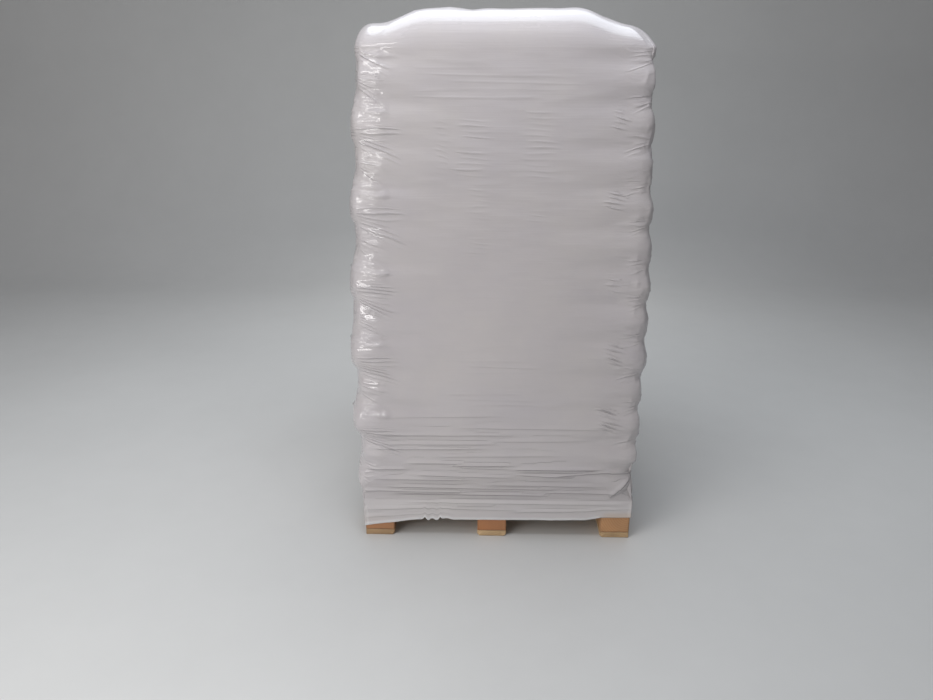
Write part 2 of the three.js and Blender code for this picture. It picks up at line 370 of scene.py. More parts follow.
def scene_object(name, data):
    made = bpy.data.objects.new(name, data)
    bpy.context.scene.collection.objects.link(made)
    return made


def new_mesh(name, points, faces):
    mesh = bpy.data.meshes.new(name)
    mesh.from_pydata([tuple(p) for p in points], [], faces)
    mesh.update()
    return mesh


def mesh_object(name, points, faces):
    return scene_object(name, new_mesh(name, points, faces))


def sorted_mesh(name, made):
    """The mesh of a bmesh, its faces sorted, because cuts leave them in another order on every run."""
    made.verts.index_update()
    points = [tuple(vert.co) for vert in made.verts]
    faces = []
    for face in made.faces:
        corners = [vert.index for vert in face.verts]
        first = corners.index(min(corners))
        faces.append(corners[first:] + corners[:first])
    made.free()
    return new_mesh(name, points, sorted(faces))


def smooth(made):
    made.data.polygons.foreach_set("use_smooth", [True] * len(made.data.polygons))
    made.data.update()


def point_values(mesh, name, values):
    layer = mesh.attributes.new(name, "FLOAT", "POINT")
    layer.data.foreach_set("value", np.asarray(values, dtype=np.float32).ravel())


def soft_step(values, low, high):
    share = np.clip((values - low) / (high - low), 0.0, 1.0)
    return share * share * (3.0 - 2.0 * share)


def window(values, low, full, fading, high):
    """1 between full and fading, and 0 below low and above high."""
    return soft_step(values, low, full) * (1.0 - soft_step(values, fading, high))


def hump(values, width):
    """A smooth hump: 1 at zero, falling away on both sides."""
    return np.exp(-((values / width) ** 2))


def wavy(points, scale, seed, octaves=3):
    """Smooth noise from sums of sines, from -1 to 1, the same on every run."""
    draw = np.random.default_rng(seed)
    total = np.zeros(points[0].shape)
    size = 0.0
    for octave in range(octaves):
        for _ in range(4):
            turn = draw.uniform(-1.0, 1.0, len(points))
            turn *= 2.0 * math.pi * 2.0**octave / (scale * np.linalg.norm(turn))
            phase = draw.uniform(0.0, 2.0 * math.pi)
            total += 0.5**octave * np.sin(sum(t * p for t, p in zip(turn, points)) + phase)
            size += 0.5**octave
    return total / (0.5 * size)


# Node tools


def rgba(colour, shades=(1.0, 1.0, 1.0)):
    return (*(part * shade for part, shade in zip(colour, shades)), 1.0)


class Nodes:
    """A node tree with short calls for the nodes that the finishes and the repeated pieces use."""

    def __init__(self, tree):
        self.tree = tree
        self.tree.nodes.clear()

    def add(self, kind, inputs=None, **settings):
        made = self.tree.nodes.new(kind)
        for key, value in settings.items():
            setattr(made, key, value)
        for key, value in (inputs or {}).items():
            self.feed(made.inputs[key], value)
        return made

    def feed(self, socket, value):
        if isinstance(value, bpy.types.NodeSocket):
            self.tree.links.new(value, socket)
        else:
            socket.default_value = value

    def math(self, operation, first, second=0.0):
        return self.add("ShaderNodeMath", {0: first, 1: second}, operation=operation).outputs[0]

    def plus(self, first, second):
        return self.math("ADD", first, second)

    def times(self, first, second):
        return self.math("MULTIPLY", first, second)

    def noise(self, vector, scale, detail=3.0, roughness=0.5, distortion=0.0):
        inputs = {"Vector": vector, "Scale": scale, "Detail": detail, "Roughness": roughness,
                  "Distortion": distortion}
        return self.add("ShaderNodeTexNoise", inputs).outputs["Fac"]

    def ramp(self, value, low, high, to_low=0.0, to_high=1.0):
        inputs = {"Value": value, "From Min": low, "From Max": high, "To Min": to_low, "To Max": to_high}
        return self.add("ShaderNodeMapRange", inputs).outputs["Result"]

    def blend(self, share, first, second):
        inputs = {"Factor": share, "A": first, "B": second}
        return self.add("ShaderNodeMix", inputs, data_type="RGBA").outputs["Result"]

    def stretch(self, vector, scale, location=(0.0, 0.0, 0.0)):
        inputs = {"Vector": vector, "Scale": scale, "Location": location}
        return self.add("ShaderNodeMapping", inputs).outputs["Vector"]

    def parts(self, vector):
        return self.add("ShaderNodeSeparateXYZ", {"Vector": vector}).outputs

    def attribute(self, name):
        return self.add("ShaderNodeAttribute", attribute_name=name).outputs["Fac"]

    def place(self):
        return self.add("ShaderNodeTexCoord").outputs["Object"]

    def bump(self, height, strength, distance):
        inputs = {"Height": height, "Strength": strength, "Distance": distance}
        return self.add("ShaderNodeBump", inputs).outputs["Normal"]

    def group(self, name, inputs):
        """A shared group with this material's own values. It is built at its first use."""
        if name not in bpy.data.node_groups:
            SHARED_GROUPS[name](name)
        return self.add("ShaderNodeGroup", inputs, node_tree=bpy.data.node_groups[name]).outputs

    def random(self, low, high, seed):
        """A random vector for each point."""
        inputs = {"Min": low, "Max": high, "Seed": seed}
        return self.add("FunctionNodeRandomValue", inputs, data_type="FLOAT_VECTOR").outputs["Value"]

    def on_points(self, given, out, inputs):
        """Ends a geometry tree: a shape on every point, made real, with its material."""
        placed = self.add("GeometryNodeInstanceOnPoints", {"Points": given["Geometry"], **inputs})
        real = self.add("GeometryNodeRealizeInstances", {"Geometry": placed.outputs["Instances"]})
        inputs = {"Geometry": real.outputs["Geometry"], "Material": given["Material"]}
        self.feed(out["Geometry"], self.add("GeometryNodeSetMaterial", inputs).outputs["Geometry"])


def new_tree(name, inputs, outputs, kind="ShaderNodeTree"):
    """A node group with named sockets. Returns its Nodes, its inputs and its output node."""
    tree = bpy.data.node_groups.new(name, kind)
    for way, sockets in (("INPUT", inputs), ("OUTPUT", outputs)):
        for label, form, *value in sockets:
            socket = tree.interface.new_socket(label, in_out=way, socket_type="NodeSocket" + form)
            if value:
                socket.default_value = value[0]
    nodes = Nodes(tree)
    return nodes, nodes.add("NodeGroupInput").outputs, nodes.add("NodeGroupOutput").inputs


def new_material(name, finish, *values):
    """A material whose Principled inputs a finish gives from its own values."""
    made = bpy.data.materials.new(name)
    made.use_nodes = True
    nodes = Nodes(made.node_tree)
    surface = nodes.add("ShaderNodeBsdfPrincipled", finish(nodes, *values))
    nodes.add("ShaderNodeOutputMaterial", {"Surface": surface.outputs["BSDF"]}).is_active_output = True
    return made


def cloudiness_group(name):
    """Soft blotches at two scales, from 0 to 1."""
    nodes, given, out = new_tree(name, [("Vector", "Vector"), ("Scale", "Float", 4.0)], [("Value", "Float")])
    broad = nodes.noise(given["Vector"], given["Scale"], 2.0)
    fine = nodes.noise(given["Vector"], nodes.times(given["Scale"], 6.0), 4.0, 0.6)
    mixed = nodes.plus(nodes.times(broad, 0.65), nodes.times(fine, 0.35))
    nodes.feed(out["Value"], nodes.ramp(mixed, 0.3, 0.7))


def grain_group(name):
    """Sawn pine: rings round a pith that runs along Y, with colour, relief and sheen from the same rings."""
    inputs = [
        ("Vector", "Vector"),
        ("Pale", "Color", (0.70, 0.50, 0.29, 1.0)),
        ("Dark", "Color", (0.47, 0.28, 0.13, 1.0)),
        ("Rings", "Float", 130.0),
        ("Soil", "Float", 0.25),
        ("Edge", "Float", 0.0),
    ]
    outputs = [("Color", "Color"), ("Height", "Float"), ("Roughness", "Float")]
    nodes, given, out = new_tree(name, inputs, outputs)
    vector = given["Vector"]
    bent = nodes.noise(nodes.stretch(vector, (6.0, 1.2, 6.0)), 1.0, 2.0)
    x, _, z = nodes.parts(vector)
    radius = nodes.math("SQRT", nodes.plus(nodes.math("POWER", x, 2.0), nodes.math("POWER", z, 2.0)))
    turns = nodes.times(nodes.plus(radius, nodes.times(bent, 0.035)), given["Rings"])
    late = nodes.math("POWER", nodes.math("FRACT", turns), 2.6)
    fibre = nodes.noise(nodes.stretch(vector, (900.0, 22.0, 900.0)), 1.0, 3.0, 0.65)
    broad = nodes.noise(vector, 9.0, 3.0)
    tone = nodes.plus(nodes.times(late, 0.62), nodes.times(fibre, 0.38))
    wood = nodes.blend(tone, given["Pale"], given["Dark"])
    soil = nodes.times(nodes.ramp(broad, 0.42, 0.75), given["Soil"])
    soiled = nodes.blend(soil, wood, SOIL_COLOUR)
    # Edges darkened, part by wear and part by painted shade where the parts meet
    worn_and_shaded = nodes.ramp(nodes.plus(given["Edge"], nodes.times(broad, 0.5)), 0.62, 1.2, 0.0, 0.62)
    nodes.feed(out["Color"], nodes.blend(worn_and_shaded, soiled, WORN_AND_SHADED_EDGE_COLOUR))
    nodes.feed(out["Height"], nodes.math("SUBTRACT", nodes.times(fibre, 0.6), nodes.times(late, 0.4)))
    nodes.feed(out["Roughness"], nodes.ramp(fibre, 0.2, 0.8, 0.62, 0.86))


def fold_group(name):
    """Sharp-backed folds from which fold a point lies on: 0, 1, 2 and so on along each crest."""
    inputs = [("Order", "Float", 0.0), ("Mask", "Float", 0.0)]
    nodes, given, out = new_tree(name, inputs, [("Height", "Float")])
    wave = nodes.math("COSINE", nodes.times(given["Order"], 2.0 * math.pi))
    lean = nodes.math("SINE", nodes.times(given["Order"], 2.0 * math.pi))
    shaped = nodes.math("SUBTRACT", wave, nodes.times(lean, 0.5))
    ridge = nodes.math("POWER", nodes.ramp(shaped, -1.12, 1.12), 2.4)
    nodes.feed(out["Height"], nodes.times(nodes.math("SUBTRACT", ridge, 0.3), given["Mask"]))


def pleat_group(name):
    """A pleat with a crisp lower edge, from the distance above that edge in metres, and where shade is
    painted along that edge.
    """
    inputs = [("Offset", "Float", 0.02), ("Mask", "Float", 0.0)]
    nodes, given, out = new_tree(name, inputs, [("Height", "Float"), ("Crease", "Float")])
    step = nodes.ramp(given["Offset"], -0.0018, 0.0006)
    # Painted shade in the crease just under the pleat's edge
    below = nodes.math("ABSOLUTE", nodes.plus(given["Offset"], 0.0014))
    nodes.feed(out["Crease"], nodes.times(nodes.ramp(below, 0.0005, 0.0032, 1.0, 0.0), given["Mask"]))
    slope = nodes.ramp(given["Offset"], 0.0, 0.014, 1.0, 0.0)
    nodes.feed(out["Height"], nodes.times(nodes.times(step, slope), given["Mask"]))


def drawn_lines_group(name):
    """Faint level lines that a stretched film shows all over, and puckers near its corners. UV in metres."""
    inputs = [("UV", "Vector"), ("Corner", "Float", 1.0), ("Along", "Float", 5.0), ("Across", "Float", 170.0)]
    nodes, given, out = new_tree(name, inputs, [("Height", "Float")])
    scale = nodes.add("ShaderNodeCombineXYZ", {"X": given["Along"], "Y": given["Across"], "Z": 1.0})
    stretched = nodes.add("ShaderNodeVectorMath", {0: given["UV"], 1: scale.outputs["Vector"]},
                          operation="MULTIPLY")
    lines = nodes.noise(stretched.outputs["Vector"], 1.0, 3.0, 0.55, 0.4)
    puckers = nodes.noise(nodes.stretch(given["UV"], (22.0, 55.0, 1.0)), 1.0, 2.0, 0.5, 0.8)
    share = nodes.ramp(given["Corner"], 0.06, 0.17, 2.2, 0.35)
    gathers = nodes.noise(nodes.stretch(given["UV"], (26.0, 2.6, 1.0)), 1.0, 3.0, 0.6, 0.5)
    top = nodes.ramp(nodes.parts(given["UV"])["Y"], SHOULDER + 0.07, SHOULDER + 0.22, 0.0, 2.2)
    mixed = nodes.plus(nodes.times(lines, 0.6), nodes.times(puckers, share))
    nodes.feed(out["Height"], nodes.plus(mixed, nodes.times(gathers, top)))


SHARED_GROUPS = {"Cloudiness": cloudiness_group, "Sawn pine": grain_group, "Fan folds": fold_group,
                 "Pleat edges": pleat_group, "Drawn lines": drawn_lines_group}


def run_nodes(made, tree, values):
    """Puts a tree on an object, sets its named inputs, and turns the result into the object's plain mesh."""
    modifier = made.modifiers.new("Build", "NODES")
    modifier.node_group = tree
    for item in tree.interface.items_tree:
        if item.item_type == "SOCKET" and item.in_out == "INPUT" and item.name in values:
            modifier[item.identifier] = values[item.name]
    made.update_tag()
    bpy.context.view_layer.update()
    evaluated = made.evaluated_get(bpy.context.evaluated_depsgraph_get())
    mesh = bpy.data.meshes.new_from_object(evaluated)
    made.modifiers.clear()
    made.data = mesh
    mesh.name = made.name


# Stretch hood: its grid and the outline under it


def side_steps(length, coarse, zones=()):
    """Places along one side of the load, from 0 to 1, closer together near its ends and in finer zones."""
    places = [0.0]
    while places[-1] < length:
        here = places[-1]
        edge = min(here, length - here)
        share = float(soft_step(edge, 0.5 * END_MARGIN, 1.4 * END_MARGIN))
        step = FINE_STEP + (coarse - FINE_STEP) * share
        for middle, half, zone_step in zones:
            if abs(here - middle) < half:
                step = min(step, zone_step)
        places.append(here + step)
    return np.array(places[:-1]) / places[-1]


def edge_outline(knots, heights):
    """An outline through bulges and necks: it swells fast above a neck and eases off slowly above a bulge."""
    result = np.full(len(heights), knots[0][1])
    for (low, start, _), (high, end, kind) in zip(knots[:-1], knots[1:]):
        share = np.clip((heights - low) / (high - low), 0.0, 1.0)
        share = 1.0 - (1.0 - share) ** 2.8 if kind == "bulge" else soft_step(share, 0.0, 1.0)
        result = np.where(heights >= low, start + (end - start) * share, result)
    return result


def edge_knots(bulges, hollows, necks, layers, foot, first_rise, rise, highest):
    """Places up one edge of the load, with a bulge for every so many layers, as height, distance and kind."""
    knots = [(DECK_TOP, OUTLINE_START, "neck"), (DECK_TOP + FOOT_RISE, foot, "neck")]
    for number, bulge in enumerate(bulges):
        joint = DECK_TOP + layers * number * LAYER_HEIGHT
        if number:
            knots.append((joint - NECK_DROP, necks[number - 1], "neck"))
        knots.append((min(joint + (rise if number else first_rise), highest), bulge, "bulge"))
        if number < len(hollows):
            knots.append((joint + 1.5 * LAYER_HEIGHT, hollows[number], "hollow"))
    return knots


class HoodGrid:
    """The hood as columns round the load and rows up it, with its outline before the film is drawn in."""

    corner_steps = 18
    skirt_rows = 14
    layer_rows = 24
    arc_rows = 9
    top_rows = 18

    def __init__(self):
        width, depth = 2 * (HALF_WIDTH - CORNER_RADIUS), 2 * (HALF_DEPTH - CORNER_RADIUS)
        front = side_steps(width, FRONT_STEP, FRONT_ZONES)
        back = side_steps(width, BACK_STEP)
        along = side_steps(depth, SIDE_STEP)
        quarter = math.pi / 2
        fine = np.linspace(0.0, quarter, 181)
        travel = fine + CORNER_SOFTNESS * np.sin(4 * fine) / 4
        turn = np.interp(np.arange(self.corner_steps) / self.corner_steps * quarter, travel, fine) / quarter
        whole = np.ones(len(turn))
        parts = []
        for index, steps in enumerate((front, along, back, along)):
            before, after = CORNER_SHARES[index - 1], CORNER_SHARES[index]
            share = steps if index < 2 else 1.0 - steps
            level = np.full(len(steps), float(index in (1, 2)))
            radius = before + (after - before) * np.arange(len(steps)) / len(steps)
            right, behind = (level, share) if index % 2 else (share, level)
            parts.append([right, behind, np.full(len(steps), (index - 1) * quarter), radius])
            parts.append([whole * (index < 2), whole * (index in (1, 2)), (index - 1 + turn) * quarter,
                          whole * after])
        self.right_share, self.back_share, self.angle, self.radius_share = np.hstack(parts)
        self.columns = len(self.angle)
        walls = [np.linspace(low, low + LAYER_HEIGHT, self.layer_rows, endpoint=False)
                 for low in LAYER_LOWS[:-1]]
        self.wall_heights = np.concatenate([*walls, np.linspace(LAYER_LOWS[-1], SHOULDER, 5)])
        self.wall_heights[0] = DECK_TOP
        shape = self.outline(0.6 * HALF_WIDTH_LOW + 0.4 * HALF_WIDTH_HIGH,
                             0.6 * HALF_DEPTH_LOW + 0.4 * HALF_DEPTH_HIGH, CORNER_RADIUS)
        gaps = np.linalg.norm(np.roll(shape, -1, axis=0) - shape, axis=1)
        self.girth = gaps.sum()
        self.along = np.concatenate([[0.0], np.cumsum(gaps)[:-1]])
        self.outward = np.stack([np.cos(self.angle), np.sin(self.angle)], axis=1)
        self.flat = self.outline(0.5 * (HALF_WIDTH_LOW + HALF_WIDTH_HIGH),
                                 0.5 * (HALF_DEPTH_LOW + HALF_DEPTH_HIGH), CORNER_RADIUS)
        middles = [(corner - 0.5) * quarter for corner in range(4)]
        self.corner_places = [self.along[np.argmin(np.abs(self.angle - middle))] for middle in middles]

    def outline(self, half_width, half_depth, radius):
        """The columns' places on a rectangle whose corners bend gently at the faces and more between them."""
        radius = radius * self.radius_share
        bend = radius / (1.0 - CORNER_SOFTNESS / 15)
        share = 0.5 * CORNER_SOFTNESS
        round_x = np.cos(self.angle) + share * (np.cos(5 * self.angle) / 5 - np.cos(3 * self.angle) / 3)
        round_y = np.sin(self.angle) + share * (np.sin(5 * self.angle) / 5 + np.sin(3 * self.angle) / 3)
        x = (2.0 * self.right_share - 1.0) * (half_width - radius) + bend * round_x
        y = (2.0 * self.back_share - 1.0) * (half_depth - radius) + bend * round_y
        return np.stack([x, y], axis=1)

    def to_place(self, place):
        """Distance round the load from a place, positive anticlockwise."""
        return (self.along - place + self.girth / 2) % self.girth - self.girth / 2

    def reach(self, corners=4):
        """Distance round the load from the nearest of the first corners' middles."""
        return np.min([np.abs(self.to_place(place)) for place in self.corner_places[:corners]], axis=0)

    def place_at(self, x, y):
        """The place round the load nearest to a point of its outline."""
        return self.along[np.argmin(np.hypot(self.flat[:, 0] - x, self.flat[:, 1] - y))]


def half_sizes(height):
    """Half width, half depth and corner radius of the load at a height."""
    share = np.clip((height - DECK_TOP) / (CROWN - DECK_TOP), 0.0, 1.0)
    belly = soft_step(np.asarray(height), DECK_TOP - 0.006, DECK_TOP + 0.125)
    rounding = soft_step(np.asarray(height), DECK_TOP, DECK_TOP + 0.140)
    half_width = HALF_WIDTH_LOW + (HALF_WIDTH_HIGH - HALF_WIDTH_LOW) * share
    half_depth = HALF_DEPTH_LOW + (HALF_DEPTH_HIGH - HALF_DEPTH_LOW) * share
    half_width = (HALF_WIDTH + GRIP) * (1 - belly) + half_width * belly
    half_depth = (HALF_DEPTH + GRIP) * (1 - belly) + half_depth * belly
    return half_width, half_depth, SKIRT_RADIUS * (1 - rounding) + CORNER_RADIUS * rounding


def side_outlines(grid):
    """How far the known edges on the left and right stand off the load's plain outline."""
    half_width = half_sizes(grid.wall_heights)[0]
    left = edge_outline(edge_knots(**LEFT_EDGE), grid.wall_heights) - half_width
    right = edge_outline(edge_knots(**RIGHT_EDGE), grid.wall_heights) - half_width
    return left + LEFT_SHORT, right + RIGHT_SHORT


def sack_faces(grid, settings):
    """How far the sacks' skin lies behind the load's outline, for each wall row and column."""
    draw = np.random.default_rng(settings.seed)
    x, y = grid.flat.T
    to_right, to_back = grid.outward.T > 0
    on_side = np.abs(grid.outward[:, 0]) > 0.7071
    faces_left = grid.outward[:, 0] < -0.35
    corner = hump(grid.reach(), 0.095)
    depth = np.zeros((len(grid.wall_heights), grid.columns))
    back_share = soft_step(y, -HALF_DEPTH_HIGH, HALF_DEPTH_HIGH)
    third = HALF_DEPTH_LOW * 2 / 3
    fullest, joint_depth, joint_width, most_stand = 0.4, 0.024, 0.045, 0.008
    left, right = side_outlines(grid)
    for index, low in enumerate(LAYER_LOWS):
        high = low + LAYER_HEIGHT
        rows = (grid.wall_heights >= low - 1e-6) & (grid.wall_heights < high)
        share = (grid.wall_heights[rows] - low) / (high - low)
        under = np.maximum(fullest - share, 0.0) / fullest
        over = np.maximum(share - fullest, 0.0) / (1.0 - fullest)
        across_on_right = index % 2 == 0
        split = HALF_WIDTH_LOW * (1 - 2 * ACROSS_SHARE) * (1 if across_on_right else -1)
        to_third = np.abs(np.abs(y) - third / 2)
        beside = np.where(to_right == across_on_right, to_third, np.abs(y))
        joint = joint_depth * hump(np.where(on_side, beside, np.abs(x - split)), joint_width)
        place = np.where(on_side, np.floor((y + HALF_DEPTH_LOW) / third), x > split)
        sack = (place + 4 * on_side + 8 * to_right + 16 * to_back).astype(int)
        stand = draw.uniform(0.0, most_stand, 64)[sack]
        droop = settings.groove * (1.0 + 0.5 * corner)
        back = (under**2.4 + over**2.8)[:, None] * droop + joint + stand
        near = np.where(faces_left, left[rows][:, None], right[rows][:, None])
        far = np.where(faces_left, right[rows][:, None], left[rows][:, None])
        depth[rows] = np.where(on_side, near + (far - near) * back_share - 0.3 * back, -back)
    return depth


def held_edges(grid, settings):
    """Columns beside the corners whose outline is known, and the film's place there behind the outline."""
    left, right = side_outlines(grid)
    wobble = 0.003 * wavy([grid.wall_heights], 0.35, settings.seed + 9, 2)
    held = np.full((len(grid.wall_heights), grid.columns), np.nan)
    shapes = {"front_left": left, "front_right": right, "back_left": right + wobble,
              "back_right": left - wobble}
    for place, shape in shapes.items():
        turned = (np.degrees(grid.angle) - HELD_DEGREES[place] + 180.0) % 360.0 - 180.0
        held[:, np.abs(turned) < HELD_REACH] = shape[:, None]
    return held


def drawn_film(grid, depth, held, hoop):
    """The film as a skin under tension that rests on the sacks and is free between them."""
    ahead = (np.roll(grid.along, -1) - grid.along) % grid.girth
    behind = np.roll(ahead, 1)
    after = 2.0 * hoop / (ahead * (ahead + behind))
    before = 2.0 * hoop / (behind * (ahead + behind))
    upright = (1.0 / np.gradient(grid.wall_heights) ** 2)[:, None]
    turning = (np.roll(grid.angle, -1) - grid.angle) % (2 * math.pi)
    squeeze = 0.3 * hoop * turning / ahead
    total = after + before + 2.0 * upright
    known = ~np.isnan(held)
    old_share, new_share = 0.3, 0.7
    film = np.where(known, held, np.maximum(depth, -0.004))
    for _ in range(DRAWING_ROUNDS):
        pull = after * np.roll(film, -1, axis=1) + before * np.roll(film, 1, axis=1) - squeeze
        pull[1:-1] += upright[1:-1] * (film[2:] + film[:-2])
        pull[0] = pull[-1] = 0.0
        relaxed = old_share * film + new_share * pull / total
        film = np.where(known, held, np.maximum(depth, relaxed))
        film[0] = 0.0
        film[-1] = film[-2]
    # The film of the front right corner is tucked in over the deck
    tuck_depth, tuck_rise, tuck_tall, tuck_wide = 0.016, 0.100, 0.055, 0.07
    tucked = hump(grid.to_place(grid.corner_places[0]), tuck_wide)
    low = hump(grid.wall_heights - DECK_TOP - tuck_rise, tuck_tall) - hump(tuck_rise, tuck_tall)
    return film - tuck_depth * tucked * np.maximum(low, 0.0)[:, None]


# Stretch hood: its folds


@dataclass
class Crease:
    """One raised line in the film. Step narrows its underside, and fade is where it starts to run out."""

    along: float
    height: float
    slope: float
    length: float
    width: float
    lift: float
    step: float = 1.0
    fade: float = 0.45

    def run_aside(self, forward, rise):
        """Share of the way along the line, and distance above it."""
        run = forward * math.cos(self.slope) + rise * math.sin(self.slope)
        return run / abs(self.length), rise * math.cos(self.slope) - forward * math.sin(self.slope)

    def add_to(self, field, grid, heights):
        tall = abs(self.length * math.sin(self.slope)) + 4 * self.width
        offset = grid.to_place(self.along)
        columns = np.nonzero(np.abs(offset) < abs(self.length) + 4 * self.width)[0]
        rows = np.nonzero(np.abs(heights - self.height) < tall)[0]
        forward = offset[columns] * math.copysign(1.0, self.length)
        share, aside = self.run_aside(forward, (heights[rows] - self.height)[:, None])
        width = np.where(aside > 0, self.width, self.width * self.step)
        ends = window(share, -0.05, 0.15, self.fade, 1.0)
        field[np.ix_(rows, columns)] += self.lift * np.exp(-(np.abs(aside / width) ** 1.5)) * ends


def drawn_crease(draw, place, way, low, *numbers, step=1.0, fade=0.45):
    """A crease beside a place, from its start, rise, degrees, length, width and lift, given or drawn."""
    drawn = [draw.uniform(*n) if isinstance(n, tuple) else n for n in numbers]
    start, rise, degrees, length, width, lift = drawn
    along, slope = place + way * start, math.radians(degrees)
    return Crease(along, low + rise, slope, way * length, width, lift, step, fade)


@dataclass
class FoldSet:
    """Folds side by side that fan out from a neck of the load's edge, the lowest steepest, or run alike."""

    place: float
    way: float
    low: float
    high: float
    steep: float
    level: float
    count: int
    size: float
    strength: float
    phase: float

    def add_to(self, grid, rise, marks, number, relief):
        """Adds the folds' height, and marks which fold a point lies on, how strong it is and whose it is."""
        order, claim, owner = marks
        steep, level = math.radians(self.steep), math.radians(self.level)
        alike = abs(steep - level) < 0.05
        forward = grid.to_place(self.place) * self.way
        tall = self.high - self.low
        swell = FOLD_SWELL * min(1.0, tall / (self.count - 1) / FOLD_PITCH)
        shares = np.linspace(-0.8, 1.8, 53)
        slopes = level + (steep - level) * np.clip(1.0 - shares, 0.0, 1.3) ** 1.2
        for column in np.nonzero((forward > -SET_MARGIN) & (forward < self.size + SET_MARGIN))[0]:
            run = float(forward[column])
            lines = self.low + tall * shares - max(run, 0.0) * np.tan(slopes)
            rows = np.nonzero((rise > lines[0]) & (rise < lines[-1]))[0]
            share = np.interp(rise[rows], lines, shares)
            ends = window(share, -0.24, -0.04, 1.02, 1.24)
            sway = (0.45 if alike else 1.0) * np.sin(7.0 * share + 3.8 * run / self.size + self.phase)
            ragged = run + 0.13 * np.sin(5.3 * share * self.count / 4 + 2.1 * self.phase) * self.size
            begin = soft_step(ragged, -0.01, 0.03) if alike else soft_step(run, -0.03, 0.03)
            end = 1.0 - soft_step(ragged - 0.9 * self.size, -0.040, 0.012)
            here = ends * begin * end * self.strength * (0.68 + 0.32 * np.sin(9.0 * share + 3.0 * self.phase))
            fold = share * (self.count - 1) + 0.24 * sway
            aside = np.abs(share - 0.5) + abs(run / self.size - 0.5)
            bid = np.where(here > 0.01, here, -0.01 * aside)
            stronger = bid > claim[rows, column]
            order[rows[stronger], column] = fold[stronger]
            claim[rows[stronger], column] = bid[stronger]
            owner[rows[stronger], column] = number
            relief[rows, column] += swell * here * (0.5 + 0.5 * np.cos(2 * math.pi * fold))


def drawn_fan(draw, place, way, low, tall, steep, level, counts, size, strength):
    """A fan of folds beside a corner, its numbers drawn from ranges."""
    return FoldSet(place, way, low, low + draw.uniform(*tall), draw.uniform(*steep), level,
                   int(draw.integers(*counts)), draw.uniform(*size), strength, draw.uniform(0.0, 6.0))


def neck_fans(draw, corner, place):
    """The fans at every neck of a corner."""
    sets = []
    for index, low, way in NECKS:
        neck = low - NECK_DROP
        if corner in DEEP_CORNERS and index % 2 == 0 and index > 0:
            sets.append(drawn_fan(draw, place, way, neck, (0.050, 0.062), (15.0, 25.0), 0.0, (5, 8),
                                  (0.135, 0.170), 1.0))
            sets.append(drawn_fan(draw, place, way, neck + draw.uniform(0.170, 0.190), (0.03, 0.045),
                                  (20.0, 34.0), 0.0, (4, 6), (0.08, 0.12), 0.8))
        elif corner == 3 and index == 1:
            sets.append(FoldSet(place + way * 0.02, way, low - 0.050, low + 0.016, 5.0, 2.0, 5, 0.055, 1.1,
                                draw.uniform(0.0, 6.0)))
        elif corner not in DEEP_CORNERS and index > 0:
            sets.append(drawn_fan(draw, place + way * 0.02, way, neck - 0.012, (0.03, 0.04), (10.0, 18.0),
                                  -2.0, (3, 5), (0.065, 0.095), 0.8))
    return sets


def fold_sets(grid, settings):
    """Fans at the necks of every corner, the front's short sets, and random sets on the other faces."""
    draw = np.random.default_rng(settings.seed + 4)
    sets = []
    for corner, place in enumerate(grid.corner_places):
        sets += neck_fans(draw, corner, place)
    for left, width, low, high, slope, count, strength in FRONT_SETS:
        sets.append(FoldSet(grid.place_at(left, -HALF_DEPTH), 1.0, low, high, slope, slope, count, width,
                            strength, draw.uniform(0.0, 6.0)))
    for start, end in zip(grid.corner_places[:3], grid.corner_places[1:]):
        for cell in draw.permutation(24)[:SIDE_SETS]:
            low = 0.50 + 0.19 * (cell // 4) + draw.uniform(0.0, 0.03)
            count = int(draw.integers(3, 8))
            slope = draw.uniform(-4.0, 8.0)
            place = start + (0.17 + 0.175 * (cell % 4) + draw.uniform(0.0, 0.03)) * (end - start)
            sets.append(FoldSet(place, 1.0, low, low + 0.0175 * count, slope, slope, count,
                                draw.uniform(0.07, 0.12), draw.uniform(0.3, 0.7), draw.uniform(0.0, 6.0)))
    return sets


def neck_folds(draw, place, way, neck):
    """The other folds beside a deep neck: level lines over its fan, a pocket, and puckers under the neck."""
    creases = []
    for line in range(3):
        creases.append(drawn_crease(draw, place, way, neck, (0.0, 0.02), 0.078 + 0.0125 * line, (-3.0, 1.0),
                                    (0.08, 0.12), 0.0046, (0.3, 0.6), step=0.8, fade=0.8))
    begin = draw.uniform(0.008, 0.030)
    size = draw.uniform(0.075, 0.105)
    low = draw.uniform(0.098, 0.110)
    tall = draw.uniform(0.026, 0.036)
    tilt = draw.uniform(-6.0, 1.0)
    for rise, lift in ((low, 0.9), (low + tall, 0.8)):
        creases.append(drawn_crease(draw, place, way, neck, begin, rise, tilt, size, 0.0042, lift, step=0.8,
                                    fade=0.92))
    end = low + tall + size * math.sin(math.radians(tilt))
    creases.append(drawn_crease(draw, place, way, neck, begin + size - 0.006, end, -80.0, tall, 0.0050, 0.9,
                                fade=0.85))
    for begin, drop, degrees, size, lift in PUCKERS:
        creases.append(drawn_crease(draw, place, way, neck, (begin - 0.006, begin + 0.006),
                                    (-drop - 0.005, -drop + 0.005), (degrees - 4.0, degrees + 4.0), size,
                                    0.0052, (0.8 * lift, 1.1 * lift), step=0.9, fade=0.7))
    return creases


